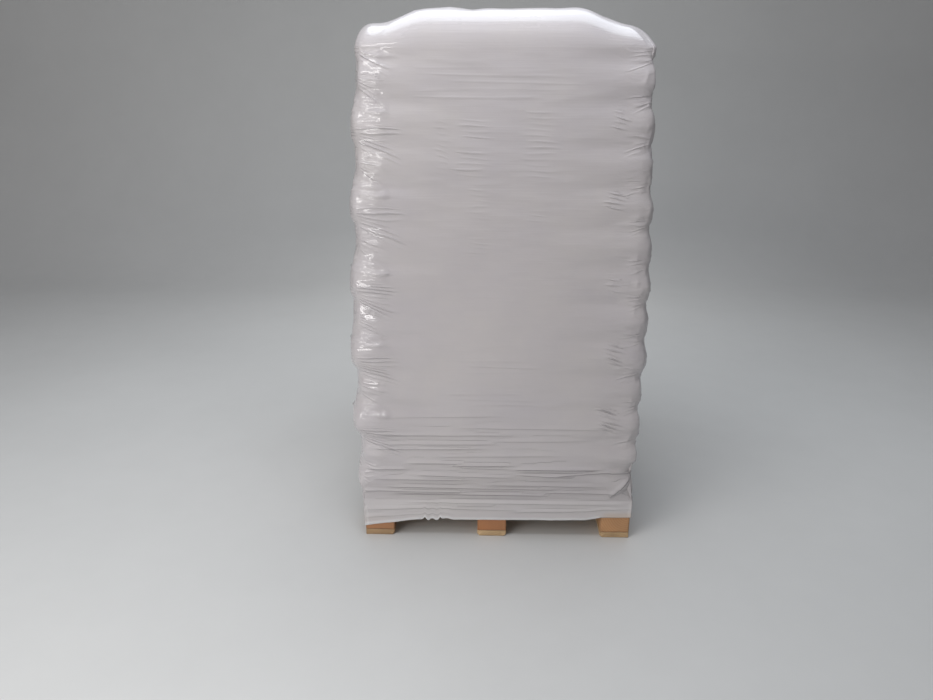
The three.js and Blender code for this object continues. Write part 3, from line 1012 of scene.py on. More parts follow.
def corner_creases(grid, settings):
    """The folds that every corner of the load draws into the film, with deep necks on two of the corners."""
    draw = np.random.default_rng(settings.seed + 1)
    creases = []
    for corner, place in enumerate(grid.corner_places):
        deep = corner in DEEP_CORNERS
        for index, low, way in NECKS:
            if deep and index % 2 == 0 and index > 0:
                creases += neck_folds(draw, place, way, low - NECK_DROP)
            elif not deep or index == 0:
                for order in range(int(draw.integers(3, 6))):
                    height = low - 0.02 + 0.016 * order + draw.uniform(-0.003, 0.003)
                    creases.append(drawn_crease(draw, place, way, height, (0.0, 0.03), 0.0, (3.0, 13.0),
                                                (0.05, 0.12), (0.0046, 0.0058), (0.35, 0.8), step=0.8,
                                                fade=0.75))
        for _ in range(0 if deep else CORNER_CREASES):
            creases.append(drawn_crease(draw, place, 1.0, 0.0, (-0.060, 0.060), (0.36, SHOULDER - 0.09),
                                        (35.0, 145.0), (0.02, 0.05), 0.0080, (0.3, 0.8), step=0.8, fade=0.7))
        for _ in range(SHOULDER_CREASES):
            creases.append(drawn_crease(draw, place, 1.0, 0.0, (-0.09, 0.09), (1.56, 1.73), (50.0, 85.0),
                                        (-0.09, 0.09), 0.010, (0.3, 0.8)))
    creases = [crease for crease in creases if crease.height < SHOULDER - 0.015]
    for crease in creases:
        crease.lift *= settings.crease
    return creases


def long_pleats(grid, settings):
    """Nearly level pleats low on every face, listed for the front and drawn at random on the others."""
    draw = np.random.default_rng(settings.seed + 2)
    pleats = []
    for left, low, right, high, lift in FRONT_PLEATS:
        length = right - left
        pleats.append(Crease(grid.place_at(left, -HALF_DEPTH), low, math.atan2(high - low, length),
                             length * 1.12, PLEAT_WIDTH, lift, PLEAT_STEP, 0.8))
    for place, end in zip(grid.corner_places[:3], grid.corner_places[1:]):
        for _ in range(SIDE_PLEATS):
            start = place + draw.uniform(0.08, 0.6) * (end - place)
            height = DECK_TOP - 0.07 + 0.36 * draw.uniform() ** 1.2
            slope = math.radians(draw.uniform(-2.5, 2.5))
            lift = draw.uniform(0.0014, 0.0048) * (1.0 - float(soft_step(height, 0.3, 0.7)))
            pleats.append(Crease(start, height, slope, draw.uniform(0.2, 0.5), PLEAT_WIDTH, lift, PLEAT_STEP,
                                 0.8))
    for place in grid.corner_places[:3]:
        for way in (-1.0, 1.0):
            pleats.append(drawn_crease(draw, place, way, DECK_TOP + 0.008,
                                       (GUSSET_START - 0.004, GUSSET_START + 0.004), 0.0, (42.0, 46.0),
                                       -GUSSET_LENGTH, PLEAT_WIDTH, 0.0055, step=PLEAT_STEP, fade=0.6))
    pleats.append(drawn_crease(draw, grid.corner_places[0], 1.0, DECK_TOP, -0.13, 0.118, -2.0, GUSSET_LENGTH,
                               PLEAT_WIDTH, 0.0050, step=PLEAT_STEP, fade=0.8))
    return pleats


def corner_gussets(grid, rise):
    """Where the spare film folds back between its hold on the deck and the diagonal crease of each corner but
    the front left.
    """
    reach = grid.reach(3)
    height = rise[:, None] - DECK_TOP - 0.008
    inside = (GUSSET_START - reach) - height * 1.05
    low = window(height, -0.012, 0.004, 0.07, 0.12)
    return soft_step(inside, -0.004, 0.044) * low * (0.5 + 0.5 * soft_step(reach, 0.0, 0.05))


def faint_creases(grid, settings):
    """Long shallow creases all round the load."""
    draw = np.random.default_rng(settings.seed + 6)
    creases = []
    for _ in range(FAINT_CREASES):
        degrees = draw.uniform(-4.0, 4.0)
        creases.append(drawn_crease(draw, 0.0, 1.0, 0.0, (0.0, grid.girth), (0.40, SHOULDER), degrees,
                                    (0.12, 0.38), 0.0085, (0.0004, 0.0013)))
    return creases


def top_folds(grid, settings):
    """The spare film of the top: folds that run from the load's corners and edges toward the weld."""
    draw = np.random.default_rng(settings.seed + 8)
    folds = []
    for place in grid.corner_places:
        for _ in range(TOP_CORNER_FOLDS):
            folds.append(drawn_crease(draw, place, 1.0, SHOULDER, (-0.15, 0.15), (0.06, 0.20), (84.0, 96.0),
                                      (0.18, 0.40), (0.009, 0.013), (0.0010, 0.0026), step=0.8, fade=0.6))
    for _ in range(TOP_EDGE_FOLDS):
        folds.append(drawn_crease(draw, 0.0, 1.0, SHOULDER, (0.0, grid.girth), (0.08, 0.34), (80.0, 100.0),
                                  (0.10, 0.30), (0.020, 0.032), (0.0008, 0.0022), fade=0.6))
    return folds


def pleat_edges(grid, rise, pleats):
    """How far each point lies above its nearest pleat's lower edge, and how strong the pleat is there."""
    shape = (len(rise), grid.columns)
    offset, mask = np.full(shape, 0.02), np.zeros(shape)
    nearest, second = np.full(shape, 0.04), np.full(shape, 0.04)
    for pleat in pleats:
        forward = math.copysign(1.0, pleat.length) * grid.to_place(pleat.along)
        share, aside = pleat.run_aside(forward, (rise - pleat.height)[:, None])
        ends = window(share, -0.02, 0.2, 0.7, 1.0)
        distance = np.where(ends > 0.001, np.abs(aside) + 0.02 * (1.0 - ends), 0.05)
        nearer = distance < nearest
        second = np.where(nearer, nearest, np.minimum(second, distance))
        nearest = np.where(nearer, distance, nearest)
        offset = np.where(nearer, aside, offset)
        mask = np.where(nearer, ends * min(1.0, pleat.lift / 0.006), mask)
    return offset, mask * soft_step(second - nearest, 0.0, 0.004)


def joint_hollows(grid, rise):
    """How far the film dips between the layers on the outer parts of each face."""
    nearest = np.argmin([np.abs(grid.to_place(place)) for place in grid.corner_places], axis=0)
    reach = grid.reach()
    outer = window(reach, 0.03, 0.10, 0.12, 0.36)
    dip = np.zeros((len(rise), grid.columns))
    for index, low in enumerate(LAYER_LOWS):
        if index:
            shallow = (nearest % 2 == 1) & (index % 2 == 0)
            dip += np.where(shallow, 0.0015, 0.0050) * outer * hump(rise - low + NECK_DROP, 0.024)[:, None]
    return dip


def hood_relief(grid, rise, settings):
    """Creases and soft waves of the film over the whole grid, and what the finish needs to sharpen them."""
    field = np.zeros((len(rise), grid.columns))
    order, claim, owner = np.zeros(field.shape), np.full(field.shape, -1.0), np.zeros(field.shape)
    for number, folds in enumerate(fold_sets(grid, settings)):
        folds.add_to(grid, rise, (order, claim, owner), number + 1, field)
    mask = np.maximum(claim, 0.0)
    for axis in (0, 1):
        seam = owner != np.roll(owner, -1, axis=axis)
        mask[seam | np.roll(seam, 1, axis=axis)] = 0.0
    z = rise[:, None]
    mask *= 1.0 - soft_step(z, SHOULDER - 0.015, SHOULDER + 0.02)
    pleats = long_pleats(grid, settings)
    raised = corner_creases(grid, settings) + pleats
    raised += faint_creases(grid, settings) + top_folds(grid, settings)
    for crease in raised:
        crease.add_to(field, grid, rise)
    field -= joint_hollows(grid, rise)
    # Folds lie flatter where the outline is held
    field *= 1.0 - 0.7 * hump(np.abs(grid.outward[:, 1]) - HELD_SLANT, 0.09)
    # Film folded back at the corners: sunk in here, and darkened with painted shade by the finish
    slack = corner_gussets(grid, rise)
    field -= GUSSET_DEPTH * slack
    on_wall = window(z, DECK_TOP, DECK_TOP + 0.05, SHOULDER, SHOULDER + 0.05)
    angle = grid.along / grid.girth * 2 * math.pi
    x, y = np.cos(angle) * WAVE_RADIUS + 0 * z, np.sin(angle) * WAVE_RADIUS + 0 * z
    broad = wavy([x, y, z + 0 * x], 0.42, 21, 2)
    level = wavy([0.3 * x, 0.3 * y, z + 0 * x], 0.055, 22, 2)
    field += (BROAD_WAVES * broad + LEVEL_WAVES * level) * on_wall
    across = np.abs(grid.outward[:, 0]) > 0.3
    field *= 1.0 - soft_step(z, SHOULDER + 0.55, SHOULDER + 0.60)
    field *= 1.0 - soft_step(z, SHOULDER + 0.20, SHOULDER + 0.50) * across
    hang = (1.0 - soft_step(z, DECK_TOP - 0.03, DECK_TOP)) * (z < DECK_TOP)
    field += HEM_WAVES * (wavy([grid.along], 0.16, 23, 2) + 1.0) * hang
    offset, pleat_mask = pleat_edges(grid, rise, pleats)
    marks = {"fold_order": order, "fold_mask": mask, "pleat_offset": offset, "pleat_mask": pleat_mask,
             "slack": slack}
    return field, marks


# Stretch hood: its surface


def hem_heights(grid, settings):
    """The hem's height at each column: level, with the photo's dip at the front left corner, and ragged."""
    draw = np.random.default_rng(settings.seed + 3)
    x, y = grid.outline(HALF_WIDTH, HALF_DEPTH, SKIRT_RADIUS).T
    outward_x, outward_y = grid.outward.T
    front = outward_y < -0.5
    hem = np.where(front, np.interp(x, HEM_X, HEM_Z), HEM_LEVEL + 0.004 * wavy([grid.along], 0.9, 5))
    left_side = HEM_Z[0] + 0.032 * soft_step(y + HALF_DEPTH, 0.0, 0.28)
    right_side = HEM_Z[-1] - 0.016 * soft_step(y + HALF_DEPTH, 0.0, 0.3)
    hem = np.where((outward_x < -0.5) & ~front, left_side, hem)
    hem = np.where((outward_x > 0.5) & ~front, right_side, hem)
    for place in draw.uniform(0.0, grid.girth, HEM_NICKS):
        hem += draw.uniform(-0.003, 0.004) * hump(grid.to_place(place), 0.012)
    for place, lift in HEM_RAGS:
        hem += front * lift * hump(x - place, 0.0055)
    return hem


def round_over(inset, radius):
    """Height of a quarter round, from 0 to 1, at a distance in from its edge."""
    share = np.clip(inset / radius, 0.0, 1.0)
    return np.sqrt(np.maximum(1.0 - (1.0 - share) ** 2, 0.0))


def crown_height(x, y):
    """The hood's top: rounded edges, a middle that stands higher, and faint joints between the sacks."""
    edge_x = np.maximum(TOP_HALF_WIDTH - np.abs(x), 0.0)
    edge_y = np.maximum(TOP_HALF_DEPTH - np.abs(y), 0.0)
    bend = 0.065 + 0.085 * soft_step(x, -0.2, 0.2)
    middle = 1.0 - soft_step(np.abs(x + 0.01), 0.235, 0.395)
    edge_rise, middle_rise, end_bend = 0.075, 0.045, 0.13
    rise = (edge_rise * round_over(edge_x, bend) + middle_rise * middle) * round_over(edge_y, end_bend)
    inside = soft_step(np.minimum(edge_x, edge_y), 0.05, 0.15)
    split, width, ease, depth = -0.10, 0.035, 0.06, 0.008
    groove_right = hump(np.abs(y) - HALF_DEPTH_HIGH / 3, width) * soft_step(x, split, split + ease)
    groove_left = hump(y, width) * (1 - soft_step(x, split - ease, split))
    dip = depth * np.max([hump(x - split, width), groove_right, groove_left], axis=0)
    return SHOULDER + rise - inside * (dip + 0.004 - 0.003 * wavy([x, y], 0.28, 11))


def dome_points(grid, last_film):
    """Rows over the top, from the shoulder to the weld across the middle, and how far along each is."""
    turns = np.arange(1, grid.arc_rows + 1) / grid.arc_rows * math.pi / 2
    steps = (np.arange(1, grid.top_rows + 1) / grid.top_rows) ** 1.25
    weld, weld_rise, weld_lean = 0.9965, 0.009, 0.005
    steps = np.concatenate([steps[:-1], [0.985, weld, 1.0]])
    half_width, half_depth, radius = (float(v) for v in half_sizes(SHOULDER))
    start = crown_height(*grid.outline(half_width, half_depth, radius).T) - SHOULDER
    rows = []
    for turn in turns:
        inset = 1 - math.cos(turn)
        flat = grid.outline(half_width - TOP_IN_X * inset, half_depth - TOP_IN_Y * inset, radius)
        height = crown_height(*flat.T) - start * (1 - math.sin(turn))
        fade = math.cos(turn) ** 1.5 + 0.5 * (1.0 - grid.radius_share) * math.sin(2.0 * turn)
        rows.append(np.column_stack([flat + grid.outward * (last_film * fade)[:, None], height]))
    wide, deep = half_width - TOP_IN_X, half_depth - TOP_IN_Y
    for share in steps:
        narrow = max(deep * (1.0 - share), 0.0007)
        flat = grid.outline(wide - share * (wide - WELD_HALF), narrow, min(radius, narrow))
        height = crown_height(*flat.T)
        if share > 0.99:
            height = height + weld_rise * (share - weld) / (1.0 - weld)
            flat[:, 1] -= weld_lean * (share - weld) / (1.0 - weld)
        rows.append(np.column_stack([flat, height]))
    return np.array(rows), np.concatenate([turns / math.pi * 0.25, 0.125 + 0.5 * steps])


def grid_normals(points):
    """Outward directions of a grid of points that closes round its columns."""
    around = np.roll(points, -1, axis=1) - np.roll(points, 1, axis=1)
    normal = np.cross(around, np.gradient(points, axis=0))
    return normal / np.maximum(np.linalg.norm(normal, axis=2, keepdims=True), 1e-12)


def hood_surface(grid, settings):
    """The film's outer face as rows of points, with the height along the film of each row."""
    film = drawn_film(grid, sack_faces(grid, settings), held_edges(grid, settings), settings.hoop)
    hem = hem_heights(grid, settings)
    rows = []
    bead, taper = 0.0012, 0.0014
    for share in np.arange(grid.skirt_rows) / grid.skirt_rows:
        roll = GRIP + bead * math.exp(-((share / 0.06) ** 2)) - taper * (1.0 - share)
        flat = grid.outline(HALF_WIDTH + roll, HALF_DEPTH + roll, SKIRT_RADIUS)
        rows.append(np.column_stack([flat, hem + (DECK_TOP - hem) * share]))
    mean_hem = np.array(rows)[:, :, 2].mean(axis=1)
    for height, drawn in zip(grid.wall_heights, film):
        flat = grid.outline(*(float(v) for v in half_sizes(height))) + grid.outward * drawn[:, None]
        rows.append(np.column_stack([flat, np.full(grid.columns, height)]))
    dome, lengths = dome_points(grid, film[-1])
    rise = np.concatenate([mean_hem, grid.wall_heights, SHOULDER + lengths])
    return np.concatenate([np.array(rows), dome]), rise


def hood_mesh(settings):
    grid = HoodGrid()
    points, rise = hood_surface(grid, settings)
    relief, marks = hood_relief(grid, rise, settings)
    normals = grid_normals(points)
    outer = points + normals * relief[:, :, None]
    count, rows = grid.columns, len(rise)
    wall_end = grid.skirt_rows + len(grid.wall_heights)
    # The inner wall has one row for every few of the outer
    inner_rows = [0, 8, grid.skirt_rows, *range(grid.skirt_rows + 8, wall_end, 12),
                  *range(wall_end, rows - 5, 3), rows - 4]
    fold_room = 0.0085
    inset = settings.film + fold_room * soft_step(rise, DECK_TOP, DECK_TOP + 0.04)
    inner = (points - normals * inset[:, None, None])[inner_rows]
    vertices = np.concatenate([outer.reshape(-1, 3), inner.reshape(-1, 3)])
    start, last = rows * count, (rows + len(inner_rows) - 1) * count
    step = np.arange(count)
    beside = (step + 1) % count
    faces = []
    for row in range(0, start - count, count):
        faces += np.stack([row + step, row + beside, row + count + beside, row + count + step], 1).tolist()
    for row in range(start, last, count):
        faces += np.stack([row + step, row + count + step, row + count + beside, row + beside], 1).tolist()
    faces += np.stack([step, start + step, start + beside, beside], 1).tolist()
    faces += ring_lid(start - count + step, outer[-1][:, 0]) + ring_lid(last + step, inner[-1][:, 0])
    made = mesh_object("film_hood", vertices, faces)

    def both(values):
        values = np.broadcast_to(values, (rows, count))
        return np.concatenate([values.ravel(), values[inner_rows].ravel()])

    write_uv(made, both(grid.along), both(rise[:, None]), grid.girth)
    for name, values in {"corner": grid.reach(), **marks}.items():
        point_values(made.data, name, both(values))
    point_values(made.data, "thin", thin_mask(vertices))
    # The skirt made paler, and a painted highlight along the hem's two lowest rows, dimmer over the front
    # right block
    hem = np.zeros(len(vertices))
    bright = np.where((grid.outward[:, 1] < -0.9) & (grid.flat[:, 0] > 0.34), 0.25, 1.0)
    pale_skirt, row_highlight, rim_highlight = 0.14, 0.24, 0.9
    hem[:grid.skirt_rows * count] = pale_skirt
    hem[:count], hem[count:2 * count] = rim_highlight * bright, pale_skirt + row_highlight * bright
    point_values(made.data, "hem", hem)
    shell = bmesh.new()
    shell.from_mesh(made.data)
    bmesh.ops.recalc_face_normals(shell, faces=shell.faces)
    shell.to_mesh(made.data)
    shell.free()
    smooth(made)
    return made


def ring_lid(ring, x):
    """Triangles across a narrow ring of points, from its left end to its right end."""
    first = int(np.argmin(x))
    ring, x = np.roll(ring, -first), np.roll(x, -first)
    last = int(np.argmax(x))
    near = list(range(last + 1))
    far = [0] + list(range(len(ring) - 1, last - 1, -1))
    faces = []
    a = b = 0
    while a < len(near) - 1 or b < len(far) - 1:
        onward = b == len(far) - 1 or (a < len(near) - 1 and x[near[a + 1]] <= x[far[b + 1]])
        third = near[a + 1] if onward else far[b + 1]
        corners = [int(ring[near[a]]), int(ring[third]), int(ring[far[b]])]
        if len(set(corners)) == 3:
            faces.append(corners)
        a, b = (a + 1, b) if onward else (a, b + 1)
    return faces


def write_uv(made, along, upward, girth):
    """A film map in metres: round the load and up it. The last column closes without a jump."""
    mesh = made.data
    layer = mesh.uv_layers.new(name="Film")
    corners = np.empty(len(mesh.loops), dtype=np.int32)
    starts, totals = np.empty((2, len(mesh.polygons)), dtype=np.int32)
    mesh.loops.foreach_get("vertex_index", corners)
    mesh.polygons.foreach_get("loop_start", starts)
    mesh.polygons.foreach_get("loop_total", totals)
    u = along[corners]
    highest = np.repeat(np.maximum.reduceat(u, starts), totals)
    u = np.where(highest - u > girth / 2, u + girth, u)
    layer.data.foreach_set("uv", np.stack([u, upward[corners]], 1).astype(np.float32).ravel())


def thin_mask(vertices):
    """Where the stretched film lets the wood behind it show: over the deck's edge and the front blocks."""
    x, y, z = vertices.T
    front = y < -HALF_DEPTH + 0.01
    right_block = soft_step(x, 0.375, 0.42) * (1 - soft_step(z, 0.092, 0.122))
    left_block = (1 - soft_step(x, -0.42, -0.375)) * (1 - soft_step(z, 0.060, 0.115))
    shown = [0.03 * (z < DECK_TOP - 0.004), 0.55 * right_block * front, 0.12 * left_block * front]
    return np.max(shown, axis=0)


def film_finish(nodes, colour):
    """Milky film with drawn lines, sharp folds and pleats with painted shade in their creases, dust on the
    top, and a skirt made paler with a painted highlight along the hem.
    """
    uv = nodes.add("ShaderNodeUVMap", uv_map="Film").outputs["UV"]
    clouds = nodes.group("Cloudiness", {"Vector": nodes.place(), "Scale": 3.0})["Value"]
    lines = nodes.group("Drawn lines", {"UV": uv, "Corner": nodes.attribute("corner")})["Height"]
    folds = nodes.group("Fan folds", {"Order": nodes.attribute("fold_order"),
                                      "Mask": nodes.attribute("fold_mask")})
    pleats = nodes.group("Pleat edges", {"Offset": nodes.attribute("pleat_offset"),
                                         "Mask": nodes.attribute("pleat_mask")})
    tone = nodes.blend(clouds, rgba(colour), rgba(colour, (0.93, 0.93, 0.97)))
    # Painted shade along the pleats' creases and over the film folded back at the corners
    tuck_shade = nodes.times(nodes.attribute("slack"), 0.42)
    dark = nodes.math("MAXIMUM", nodes.times(pleats["Crease"], 0.6), tuck_shade)
    crease_shaded = nodes.blend(dark, tone, CREASE_SHADE)
    wood = nodes.blend(nodes.attribute("thin"), crease_shaded, WOOD_BEHIND_FILM)
    # The skirt made paler, and a painted highlight along the hem's rim
    edge = nodes.blend(nodes.attribute("hem"), wood, HEM_PALE_AND_HIGHLIGHT)
    on_top = nodes.ramp(nodes.parts(uv)["Y"], SHOULDER + 0.02, SHOULDER + 0.12)
    dust = nodes.times(on_top, nodes.ramp(clouds, 0.2, 0.8, 0.6, 1.0))
    rough = nodes.plus(nodes.ramp(lines, 0.3, 0.7, 0.17, 0.27), nodes.times(dust, 0.2))
    height = nodes.plus(nodes.times(lines, LINE_RELIEF), nodes.times(folds["Height"], FOLD_RELIEF))
    height = nodes.plus(height, nodes.times(pleats["Height"], PLEAT_RELIEF))
    return {"Base Color": edge, "Roughness": rough, "IOR": 1.5, "Coat Roughness": 0.07,
            "Coat Weight": nodes.ramp(dust, 0.0, 1.0, 0.9, 0.35), "Normal": nodes.bump(height, 1.0, 1.0)}


class SACKS_OT_hood(Operator):
    """Build the film hood over the load"""

    bl_idname = "sacks.hood"
    bl_label = "Stretch hood"

    def execute(self, context):
        settings = context.scene.sacks_hood
        hood = hood_mesh(settings)
        hood.data.materials.append(new_material("Milky stretch film", film_finish, settings.colour))
        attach(hood, BODY)
        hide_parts(HOOD_NODE)
        return {"FINISHED"}


# Filled sacks


def sack_mesh(name, fill):
    """A filled sack lying flat, one metre each way before it is sized, with flat sealed ends."""
    made = bmesh.new()
    bmesh.ops.create_grid(made, x_segments=20, y_segments=20, size=0.5)
    points = np.array([v.co for v in made.verts])
    x, y = np.abs(points[:, 0]) * 2, np.abs(points[:, 1]) * 2
    swell = ((1 - x**SACK_CORNERS) * (1 - y**SACK_CORNERS)) ** fill
    pinch_x = 1.0 - SACK_PINCH * (1.0 - y**2) * x**8
    pinch_y = 1.0 - SACK_PINCH * (1.0 - x**2) * y**8
    for vert, rise, in_x, in_y in zip(made.verts, swell, pinch_x, pinch_y):
        vert.co.x *= in_x
        vert.co.y *= in_y
        vert.co.z = 0.5 * rise
    copy = bmesh.ops.duplicate(made, geom=made.verts[:] + made.edges[:] + made.faces[:])["geom"]
    for vert in (item for item in copy if isinstance(item, bmesh.types.BMVert)):
        vert.co.z = -vert.co.z
    bmesh.ops.reverse_faces(made, faces=[item for item in copy if isinstance(item, bmesh.types.BMFace)])
    bmesh.ops.remove_doubles(made, verts=made.verts, dist=1e-5)
    mesh = bpy.data.meshes.new(name)
    made.to_mesh(mesh)
    made.free()
    return mesh


def layer_places(index, low, high):
    """Middle and size of each sack of a layer."""
    depth = high.y - low.y
    share = 1.0 - ACROSS_SHARE if index % 2 == 0 else ACROSS_SHARE
    split = low.x + share * (high.x - low.x)
    counts = (2, 3) if index % 2 == 0 else (3, 2)
    sides = [(low.x, split, counts[0]), (split, high.x, counts[1])]
    sides.sort(key=lambda side: -side[2])
    places = []
    for left, right, count in sides:
        pitch = depth / count
        for row in range(count):
            middle = ((left + right) / 2, low.y + pitch * (row + 0.5), (low.z + high.z) / 2)
            places.append((middle, (right - left, pitch, high.z - low.z)))
    return places


def sack_tree():
    """Geometry Nodes that put a sack on every point, sized by the point, and make them real."""
    inputs = [("Geometry", "Geometry"), ("Sack", "Object"), ("Turn", "Float"), ("Seed", "Int"),
              ("Material", "Material")]
    nodes, given, out = new_tree("Layer of sacks", inputs, [("Geometry", "Geometry")], "GeometryNodeTree")
    sack = nodes.add("GeometryNodeObjectInfo", {"Object": given["Sack"]}).outputs["Geometry"]
    size = nodes.add("GeometryNodeInputNamedAttribute", {"Name": "size"}, data_type="FLOAT_VECTOR")
    most = nodes.add("ShaderNodeCombineXYZ", {"Z": given["Turn"]}).outputs["Vector"]
    least = nodes.add("ShaderNodeVectorMath", {0: most, "Scale": -1.0}, operation="SCALE").outputs["Vector"]
    turn = nodes.random(least, most, given["Seed"])
    nodes.on_points(given, out, {"Instance": sack, "Rotation": turn, "Scale": size.outputs["Attribute"]})
    return nodes.tree


def press_under_hood(mesh):
    """Presses the sacks of a layer flatter where the hood's rounded top comes down on them."""
    points = np.empty(len(mesh.vertices) * 3)
    mesh.vertices.foreach_get("co", points)
    x, y, z = points.reshape(-1, 3).T
    if z.max() > SHOULDER:
        low = z.min()
        room = crown_height(x, y) - FILM_ROOM
        z[:] = low + (z - low) * np.clip((room - low) / (CROWN - CROWN_ROOM - low), 0.0, 1.0)
        mesh.vertices.foreach_set("co", points)
        mesh.update()


def sack_finish(nodes, colour):
    """Plain matt plastic with faint blotches."""
    place = nodes.place()
    clouds = nodes.group("Cloudiness", {"Vector": place, "Scale": 9.0})["Value"]
    grit = nodes.noise(place, 150.0, 3.0, 0.6)
    return {"Base Color": nodes.blend(clouds, rgba(colour), rgba(colour, (0.8, 0.8, 0.78))),
            "Roughness": nodes.ramp(grit, 0.3, 0.7, 0.42, 0.58), "Normal": nodes.bump(grit, 0.5, 0.002)}


class SACKS_OT_sacks(Operator):
    """Lay the sacks in their layers"""

    bl_idname = "sacks.sacks"
    bl_label = "Sacks"

    def execute(self, context):
        settings = context.scene.sacks_filled
        pattern = scene_object("sack_pattern", sack_mesh("sack_pattern", SACK_FILL))
        smooth(pattern)
        tree = sack_tree()
        finish = new_material("Sack plastic", sack_finish, settings.colour)
        for index, node in enumerate(LAYER_NODES):
            low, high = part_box(node)
            inset = settings.inset + (OUTER_ROOM if index in (0, len(LAYER_NODES) - 1) else 0.0)
            low.x, low.y = low.x + inset, low.y + inset
            high.x, high.y = high.x - inset, high.y - inset
            places = layer_places(index, low, high)
            layer = mesh_object(SACK_PIECE.format(index + 1), [middle for middle, _ in places], [])
            sizes = layer.data.attributes.new("size", "FLOAT_VECTOR", "POINT")
            sizes.data.foreach_set("vector", np.array([size for _, size in places], np.float32).ravel())
            run_nodes(layer, tree, {"Sack": pattern, "Turn": SACK_TURN, "Seed": index, "Material": finish})
            press_under_hood(layer.data)
            smooth(layer)
            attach(layer, BODY)
            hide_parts(node)
        bpy.data.objects.remove(pattern)
        return {"FINISHED"}


# Pallet timber


def timber_mesh(name, low, high, bevels, seed, round_edge):
    """A sawn timber between two corners, a little warped, with worn edges and bevels along its low edges."""
    low, high = np.array(low), np.array(high)
    size, middle = high - low, (low + high) / 2
    made = bmesh.new()
    bmesh.ops.create_cube(made, size=1.0)
    for vert in made.verts:
        vert.co = low + (np.array(vert.co) + 0.5) * size
    if bevels:
        chosen = [e for e in made.edges if all(v.co.z < low[2] + 1e-6 for v in e.verts)
                  and abs(e.verts[0].co.y - e.verts[1].co.y) > 0.5 * size[1]
                  and (e.verts[0].co.x > middle[0]) in bevels]
        bmesh.ops.bevel(made, geom=chosen, offset=RUNNER_BEVEL, segments=1, affect="EDGES")
    bmesh.ops.bevel(made, geom=made.edges[:], offset=round_edge, segments=2, affect="EDGES", profile=0.6)
    for axis, normal in enumerate(np.eye(3)):
        count = int(min(MOST_CUTS, max(1, round(size[axis] / CUT_PITCH))))
        shares = [cut / count for cut in range(1, count)]
        if size[axis] > 0.03:
            shares += [EDGE_STRIP / size[axis], 1.0 - EDGE_STRIP / size[axis]]
        for share in shares:
            bmesh.ops.bisect_plane(made, geom=made.verts[:] + made.edges[:] + made.faces[:],
                                   plane_co=middle + (share - 0.5) * size * normal, plane_no=normal)
    points = np.array([v.co for v in made.verts])
    x, y, z = points.T
    shift = [WARP * wavy([x, y * 0.25, z], 0.05, seed + k, 2) for k in range(3)]
    gaps = np.sort(np.minimum(points - low, high - points), axis=1)
    for vert, edge, *move in zip(made.verts, gaps[:, 0], *shift):
        share = 1.0 if edge < round_edge * 1.5 else 0.45
        for axis in range(3):
            vert.co[axis] += math.copysign(abs(move[axis]) * share, middle[axis] - vert.co[axis])
    bmesh.ops.recalc_face_normals(made, faces=made.faces)
    mesh = sorted_mesh(name, made)
    # How near each point lies to an edge, which the finish darkens: part wear, part painted shade where the
    # parts meet
    point_values(mesh, "edge", np.exp(-np.maximum(gaps[:, 1], 0.0) / EDGE_WEAR_AND_SHADE))
    return mesh


def wood_finish(nodes, centre, pale, dark, rings, soil):
    """Sawn pine whose rings turn about a pith at centre, given as X and Z."""
    moved = nodes.stretch(nodes.place(), (1.0, 1.0, 1.0), (-centre[0], 0.0, -centre[1]))
    given = {"Vector": moved, "Pale": rgba(pale), "Dark": rgba(dark), "Rings": rings, "Soil": soil,
             "Edge": nodes.attribute("edge")}
    grain = nodes.group("Sawn pine", given)
    return {"Base Color": grain["Color"], "Roughness": grain["Roughness"], "Specular IOR Level": 0.25,
            "Normal": nodes.bump(grain["Height"], 0.6, 0.0012)}


class SACKS_OT_pallet(Operator):
    """Saw the pallet's runners, blocks, stringers and deck boards"""

    bl_idname = "sacks.pallet"
    bl_label = "Pallet"

    def execute(self, context):
        settings = context.scene.sacks_timber
        draw = np.random.default_rng(TIMBER_SEED)
        # Slot, nodes, pale and dark wood, rings and soil
        kinds = [("runner_wood", RUNNER_NODES, settings.pale, settings.dark, 150.0, 0.22),
                 ("block_wood", BLOCK_NODES, settings.pale, settings.block, 120.0, 0.30),
                 ("board_wood", STRINGER_NODES + DECK_NODES, settings.pale, settings.dark, 140.0, 0.15)]
        seed = WARP_SEED
        for slot, nodes, pale, dark, rings, soil in kinds:
            for node in nodes:
                low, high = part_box(node)
                middle = (low + high) / 2
                centre = (middle.x + draw.uniform(-0.06, 0.06), middle.z + draw.uniform(0.05, 0.12))
                light = draw.uniform(0.92, 1.06)
                toned = FRONT_TONES.get(node, (1.0, 1.0, 1.0))
                tinted = [min(1.0, c * light * t) for c, t in zip(pale, toned)]
                if slot == "block_wood":
                    tinted = [0.5 * (p + d) * light * t for p, d, t in zip(pale, dark, toned)]
                name = f"{node}_timber"
                mesh = timber_mesh(name, low, high, RUNNER_SIDES.get(node, ()), seed, settings.round_edge)
                made = scene_object(name, mesh)
                smooth(made)
                finish = new_material(f"Wood of {node}", wood_finish, centre, tinted, dark, rings, soil)
                made.data.materials.append(finish)
                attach(made, BODY)
                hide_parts(node)
                seed += 5
        return {"FINISHED"}


# Nails


